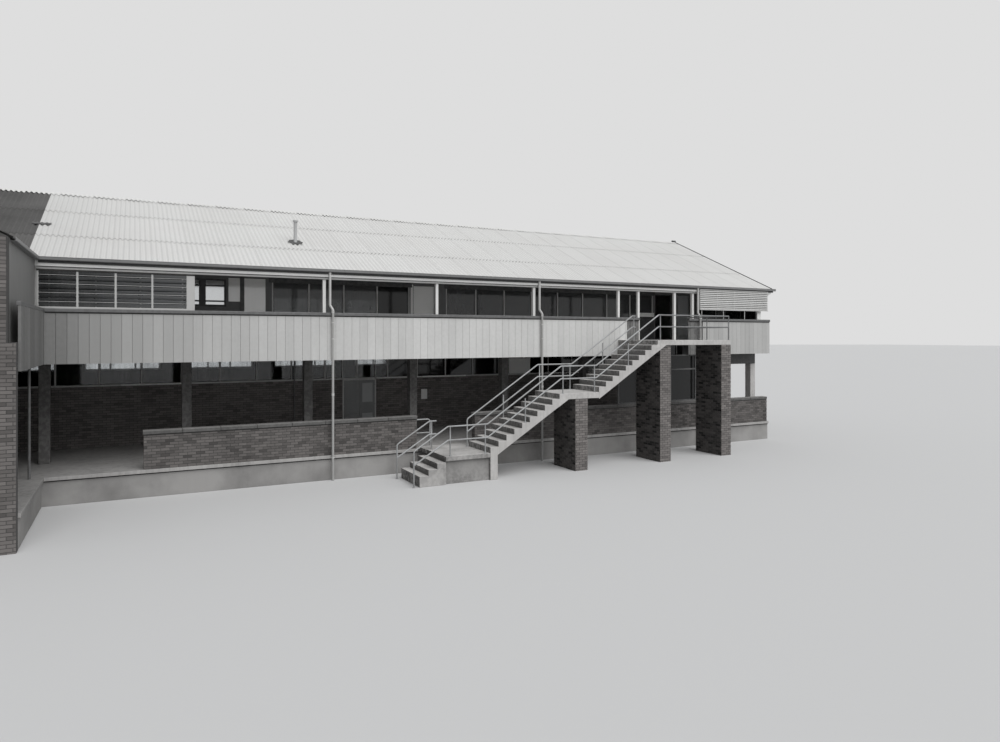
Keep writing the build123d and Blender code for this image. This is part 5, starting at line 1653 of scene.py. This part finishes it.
# %% [markdown]
# Paler sheets show where the wall was patched, and thin cover strips close the joints of
# the ceiling. Below, a small blank board hangs on the brick wall, and a pale sheet closes
# the lower part of one high window. A dark pelmet runs along the heads of the windows
# upstairs, painted dark as the shade under the eave beam. All are thin bars with a small
# bevel.

# %% Pale sheets, cover strips and dark boards
FIRST_STRIP = 0.9
STRIP_PITCH = 1.2
pale = bmesh.new()
on_wall(pale, 25.94, 26.13, UPPER_FLOOR, 6.58)
on_wall(pale, 22.82, 23.74, 5.35, 5.53)
on_wall(pale, 11.83, 11.93, 5.22, 6.42)
for i in range(math.ceil((END_X - 0.4 - FIRST_STRIP) / STRIP_PITCH)):
    x = FIRST_STRIP + i * STRIP_PITCH
    bar(pale, x, x + 0.04, 0.22, VERANDAH - 0.01, EAVE_TOP - 0.020, EAVE_TOP - 0.011)
bar(pale, 13.36, 13.63, WALL_FRONT - 0.022, WALL_FRONT - 0.004, 1.82, 2.24)
bar(pale, 17.68, 18.82, 5.072, 5.082, 2.76, 3.48)
round_arrises(pale, 0.003)
finish_piece("pale_sheets_and_strips", pale, wall_panel)
dark = bmesh.new()
# The pelmet along the window heads is painted dark as the shade under the eave beam.
for x0, x1 in ((6.60, 11.88), (13.25, 23.76), (26.45, 27.70)):
    on_wall(dark, x0, x1, 6.31, 6.57, 0.040)
on_wall(dark, 5.64, 5.78, 5.22, 6.55, 0.030)
on_wall(dark, 22.78, 23.74, UPPER_FLOOR, 5.35, 0.008)
round_arrises(dark, 0.003)
finish_piece("dark_posts_panel_and_shade_pelmet", dark, dark_finish_and_painted_shade)

# %% [markdown]
# The window frames are painted timber. All of one storey are one node of the model, but the
# screen beside the louvres was painted dark, and its panes mirror the sky. It could be a
# new node of the model; it is enough to keep only the points of a merged copy that lie in
# the right place. The model has no panes there, so one thin sheet stands in the middle.

# %% Frames of the upper windows
FRAME_ARRIS = 0.004
EDGE_COVER = 0.03


def part_of(node, wanted):
    """A merged copy of a node that keeps only the points that pass a test."""
    bm = merged_copy(node)
    unwanted = [v for v in bm.verts if not wanted(v.co)]
    bmesh.ops.delete(bm, geom=unwanted, context="VERTS")
    return bm


def finish_frames(name, node, wanted, material, stands_for=()):
    """Makes a piece with rounded arrises of the frames of a node that pass a test."""
    bm = part_of(node, wanted)
    round_arrises(bm, FRAME_ARRIS)
    finish_piece(name, bm, material, stands_for)


def in_screen(point):
    """True for the screen beside the louvres."""
    return 4.10 < point.x < 5.25 and point.y < 3.0


finish_frames("upper_frames", "upper_window_frames", lambda point: not in_screen(point),
              frame_paint, ("upper_window_frames",))
finish_frames("verandah_screen", "upper_window_frames", in_screen, dark_finish_and_painted_shade)
screen = part_of("upper_window_frames", in_screen)
screen_low = Vector(map(min, zip(*(v.co for v in screen.verts))))
screen_high = Vector(map(max, zip(*(v.co for v in screen.verts))))
screen.free()
middle = (screen_low.y + screen_high.y) / 2
screen_panes = bmesh.new()
bar(screen_panes, screen_low.x + EDGE_COVER, screen_high.x - EDGE_COVER,
    middle - 0.003, middle + 0.003, screen_low.z + EDGE_COVER, screen_high.z - EDGE_COVER)
finish_piece("screen_panes", screen_panes, sky_glass)

# %% [markdown]
# Below, the high windows over the brick wall have pale frames like those upstairs. The
# window in the line of the columns stands much nearer, so its place tells it apart, and
# its frames are grey.

# %% Frames of the ground-floor windows
def in_infill(point):
    """True for the window in the line of the columns."""
    return point.y < 1.0


finish_frames("ground_frames", "ground_window_frames", lambda point: not in_infill(point),
              frame_paint, ("ground_window_frames",))
finish_frames("infill_frames", "ground_window_frames", in_infill, trim_grey)

# %% [markdown]
# The panes are sorted in the same way, because each kind of glass has its own material:
# curtained lights along the verandah, one bare light painted dark as the shade of the room
# behind it, clear lights to the rear, painted dark as shade beyond the third bay, and the
# window in the line of the columns, painted dark as the shade behind it.

# %% Panes
def is_bare(point):
    """True for the light of the verandah that has no curtain."""
    return point.y < 3.0 and 10.50 < point.x < 11.80


def is_curtained(point):
    """True for the other lights of the verandah."""
    return point.y < 3.0 and not is_bare(point)


for name, node, wanted, material, stands_for in (
        ("verandah_panes", "upper_window_glass", is_curtained, verandah_glass,
         ("upper_window_glass",)),
        ("bare_pane", "upper_window_glass", is_bare, painted_shade_glass, ()),
        ("upper_clear_panes", "upper_window_glass", lambda point: point.y > 3.0, room_glass_painted_shade, ()),
        ("infill_panes", "ground_window_glass", in_infill, painted_shade_glass,
         ("ground_window_glass",)),
        ("ground_panes", "ground_window_glass", lambda point: not in_infill(point),
         room_glass_painted_shade, ())):
    finish_piece(name, part_of(node, wanted), material, stands_for)

# %% [markdown]
# A pane is bedded in putty and held by a small dark bead all round. The beads are four thin
# bars on the outer side of each pane, which is the rear side for a pane behind the ridge.

# %% Glazing beads
BEAD = 0.014


def beads_round(bm, low, high, side):
    """Four beads round a pane, on its outer side."""
    near, far = (low.y - BEAD, low.y) if side < 0 else (high.y, high.y + BEAD)
    bar(bm, low.x, high.x, near, far, low.z, low.z + BEAD)
    bar(bm, low.x, high.x, near, far, high.z - BEAD, high.z)
    bar(bm, low.x, low.x + BEAD, near, far, low.z + BEAD, high.z - BEAD)
    bar(bm, high.x - BEAD, high.x, near, far, low.z + BEAD, high.z - BEAD)


beads = bmesh.new()
for node in ("ground_window_glass", "upper_window_glass"):
    for low, high in solids_of(node):
        beads_round(beads, low, high, 1 if low.y > RIDGE_Y else -1)
finish_piece("glazing_beads", beads, dark_finish_and_painted_shade)

# %% [markdown]
# The louvre window has eight glass blades to a light. Each blade sits in a pair of metal
# clips. The blades are worked in pairs, so the ground edges that face each other in a pair
# show as two thin lines: the lower edge of one blade and the upper edge of the next. These
# frosted edges are painted white as the highlight that they catch. A dark head flashing
# closes the gap above the frame, painted dark as the shade under the beam.

# %% Louvres
CLIP = 0.012
softened_copy("louvre_surround", "louvre_frame", beam_paint, 0.004)
repaint("louvre_blades", louvre_glass)
blades = solids_of("louvre_blades")
levels = sorted({round(low.z, 3) for low, high in blades}, reverse=True)
clips = bmesh.new()
# Painted highlight: white strips along the ground edges of the blades.
blade_edge_highlights = bmesh.new()
for low, high in blades:
    if levels.index(round(low.z, 3)) % 2 == 0:
        bar(blade_edge_highlights, low.x, high.x, low.y - 0.001, low.y + 0.006,
            low.z - 0.001, low.z + 0.008)
    else:
        bar(blade_edge_highlights, low.x, high.x, high.y - 0.010, high.y - 0.003,
            high.z - 0.008, high.z + 0.001)
    for x in (low.x, high.x - CLIP):
        bar(clips, x, x + CLIP, low.y + 0.004, high.y - 0.004, low.z + 0.018, low.z + 0.052)
finish_piece("louvre_clips", clips, gutter_paint)
finish_piece("louvre_blade_edge_highlights", blade_edge_highlights, hood_white)
louvre_low, louvre_high = reach("louvre_frame")
# Painted shade: a dark strip at the head of the louvre frame.
flashing = bmesh.new()
bar(flashing, louvre_low.x, louvre_high.x, louvre_low.y - 0.006, louvre_low.y + 0.002,
    louvre_high.z - 0.055, louvre_high.z - 0.004)
finish_piece("louvre_head_painted_shade", flashing, dirt_and_painted_shade)

# %% [markdown]
# Doors are framed and panelled. A raised panel is a thin bar whose front is inset, so it
# has a flat field and a sloped margin. The panels of the double door ride on its leaves
# and swing with them, and the two doors upstairs stay shut.

# %% Double door
LEAF_FACE = 5.000
LEAF_PANELS = ((0.80, 1.36), (1.80, 2.58))
STILE = 0.11
STRIP_WIDTH = 0.035


def raised_panel(bm, x0, x1, z0, z1, face, proud=0.008):
    """A raised and fielded panel on the front of a door."""
    corners = bar(bm, x0, x1, face - proud, face + 0.003, z0, z1)
    front = [
        f for f in {g for v in corners for g in v.link_faces}
        if f.calc_center_median().y < face - proud + 0.001]
    bmesh.ops.inset_region(bm, faces=front, thickness=0.035, depth=-0.005)


for side, panel_finish in (("left", door_paint), ("right", panel_paint)):
    node = "door_leaf_" + side
    leaf = side + "_leaf"
    low, high = reach(node)
    softened_copy(node + "_board", node, door_paint, 0.003, body=leaf)
    leaf_panels = bmesh.new()
    for z0, z1 in LEAF_PANELS:
        raised_panel(leaf_panels, low.x + STILE, high.x - STILE, z0, z1, LEAF_FACE)
    finish_piece(node + "_panels", leaf_panels, panel_finish, body=leaf)
softened_copy("door_surround", "door_frame", frame_paint, 0.004)
strips = bmesh.new()
for x in (door_low.x, door_high.x - STRIP_WIDTH):
    bar(strips, x, x + STRIP_WIDTH, 5.060, 5.082, SILL, CEILING)
round_arrises(strips, 0.003)
finish_piece("door_frame_strips", strips, frame_paint)

# %% [markdown]
# The first of the two doors upstairs is a plain flush door, painted like the wall sheets.
# The one near the stair head has two raised panels like those below. They are one node of
# the model, cut apart by their place.

# %% Doors upstairs
def is_hall_door(point):
    """True for the first of the two doors upstairs."""
    return point.x < 20.0


hall_door = part_of("classroom_doors", is_hall_door)
round_arrises(hall_door, 0.004)
finish_piece("hall_door", hall_door, wall_panel, ("classroom_doors",))
stair_door = part_of("classroom_doors", lambda point: not is_hall_door(point))
round_arrises(stair_door, 0.004)
door_face = reach("classroom_doors")[0].y
for z0, z1 in ((5.45, 6.22), (4.50, 5.20)):
    raised_panel(stair_door, 25.15, 25.77, z0, z1, door_face)
finish_piece("stair_door", stair_door, panel_paint)

# %% [markdown]
# A sunhood of close white slats hangs in front of the last bay. The slats lean out like
# the leaves of a shutter between a top and a bottom rail, with upright stiles and a grey
# board behind them, which is painted grey as the shade seen between the slats. A striped
# material would do from far off, but the slats throw shadows on each other, so each one is
# a thin leaning bar.

# %% Sunhood
SLATS = 10
SLAT_LEAN = Matrix.Rotation(math.radians(-32), 4, "X")
SLAT_COVER = 0.86
RAIL_HEIGHT = 0.036
STILES = 5
STILE_WIDTH = 0.03
hood_low, hood_high = reach("sunhood")
hood_width = hood_high.x - hood_low.x
pitch = (hood_high.z - hood_low.z - 2 * RAIL_HEIGHT) / SLATS
hood = bmesh.new()
for z in (hood_low.z, hood_high.z - RAIL_HEIGHT):
    bar(hood, hood_low.x, hood_high.x, hood_low.y, hood_low.y + 0.030, z, z + RAIL_HEIGHT)
slat = Matrix.Diagonal((hood_width - 0.01, 0.007, pitch * SLAT_COVER, 1.0))
for i in range(SLATS):
    middle = Vector((
        (hood_low.x + hood_high.x) / 2, hood_low.y + 0.018,
        hood_low.z + RAIL_HEIGHT + (i + 0.5) * pitch))
    bmesh.ops.create_cube(
        hood, size=1.0, matrix=Matrix.Translation(middle) @ SLAT_LEAN @ slat)
number_tones(hood)
for i in range(STILES):
    x = hood_low.x + (hood_width - STILE_WIDTH) * i / (STILES - 1)
    bar(hood, x, x + STILE_WIDTH, hood_low.y + 0.034, hood_high.y, hood_low.z, hood_high.z)
finish_piece("sunhood_slats", hood, hood_white, ("sunhood",))
# Painted shade: a grey board behind the slats.
slat_shade_board = bmesh.new()
bar(slat_shade_board, hood_low.x + 0.01, hood_high.x - 0.01, hood_high.y - 0.014, hood_high.y - 0.006,
    hood_low.z + 0.01, hood_high.z - 0.01)
finish_piece("sunhood_painted_shade_board", slat_shade_board, trim_grey)

# %% [markdown]
# A small dark glazed screen closes most of the end of the verandah, and thin stays carry
# the sunhood on the cap of the balustrade. A white board and a thin corner strip finish
# the end of the bay. All are bars between the lines of the parts that they touch.

# %% End screen, stays and white posts
END_SCREEN_X = END_X - 0.060
SCREEN_DEPTH = 0.05
SCREEN_BAR = 0.06
SCREEN_FRONT = 0.64
SCREEN_MIDDLE = 1.49
SCREEN_FOOT, SCREEN_HEAD = 5.225, 6.420
PANE_LAP = 0.01
end_frame = bmesh.new()
for z in (SCREEN_FOOT, SCREEN_HEAD):
    bar(end_frame, END_SCREEN_X, END_SCREEN_X + SCREEN_DEPTH, SCREEN_FRONT, VERANDAH,
        z, z + SCREEN_BAR)
for y in (SCREEN_FRONT, SCREEN_MIDDLE, VERANDAH - SCREEN_BAR):
    bar(end_frame, END_SCREEN_X, END_SCREEN_X + SCREEN_DEPTH, y, y + SCREEN_BAR,
        SCREEN_FOOT + SCREEN_BAR, SCREEN_HEAD)
round_arrises(end_frame, 0.003)
finish_piece("end_screen_frame", end_frame, dark_finish_and_painted_shade)
pane_edge = SCREEN_BAR - PANE_LAP
# The pane is painted dark as the shade behind it.
end_pane = bmesh.new()
bar(end_pane, END_SCREEN_X + 0.022, END_SCREEN_X + 0.028, SCREEN_FRONT + pane_edge,
    VERANDAH - pane_edge, SCREEN_FOOT + pane_edge, SCREEN_HEAD + PANE_LAP)
finish_piece("end_screen_pane", end_pane, painted_shade_glass)
stays = bmesh.new()
for x in (24.17, 25.43, 26.72):
    upright(stays, x, -0.012, 5.21, hood_low.z + 0.02, 0.011, 12)
bar(stays, 27.62, 27.84, 0.070, 0.102, 5.215, 6.30)
bar(stays, END_X + 0.042, END_X + 0.064, -0.004, 0.040, UPPER_FLOOR + 0.001, 5.119)
finish_piece("stays_and_white_posts", stays, trim_white, smooth=40)

# %% [markdown]
# The part stands on a plain pale floor, which isn't part of it. The floor looks pale to the
# camera, but it sends back only as much light as real paving does, so the undercroft stays
# as dark as it is on the day.

# %% Floor
FLOOR_REACH = 400.0
floor_mesh = bmesh.new()
bmesh.ops.create_grid(floor_mesh, x_segments=1, y_segments=1, size=FLOOR_REACH)
floor_data = bpy.data.meshes.new("floor")
floor_mesh.to_mesh(floor_data)
floor_mesh.free()
floor = bpy.data.objects.new("floor", floor_data)
bpy.context.scene.collection.objects.link(floor)
floor_paint = bpy.data.materials.new("floor_paint")
floor_paint.use_nodes = True
floor_tree = floor_paint.node_tree
floor_shader = floor_tree.nodes["Principled BSDF"]
floor_colour = mix_colour(floor_tree, seen_directly(floor_tree), shade(150), shade(196))
wire(floor_tree, floor_colour, floor_shader.inputs["Base Color"])
floor_shader.inputs["Roughness"].default_value = 0.9
floor_data.materials.append(floor_paint)
print("the floor reaches", round(FLOOR_REACH), "m each way")
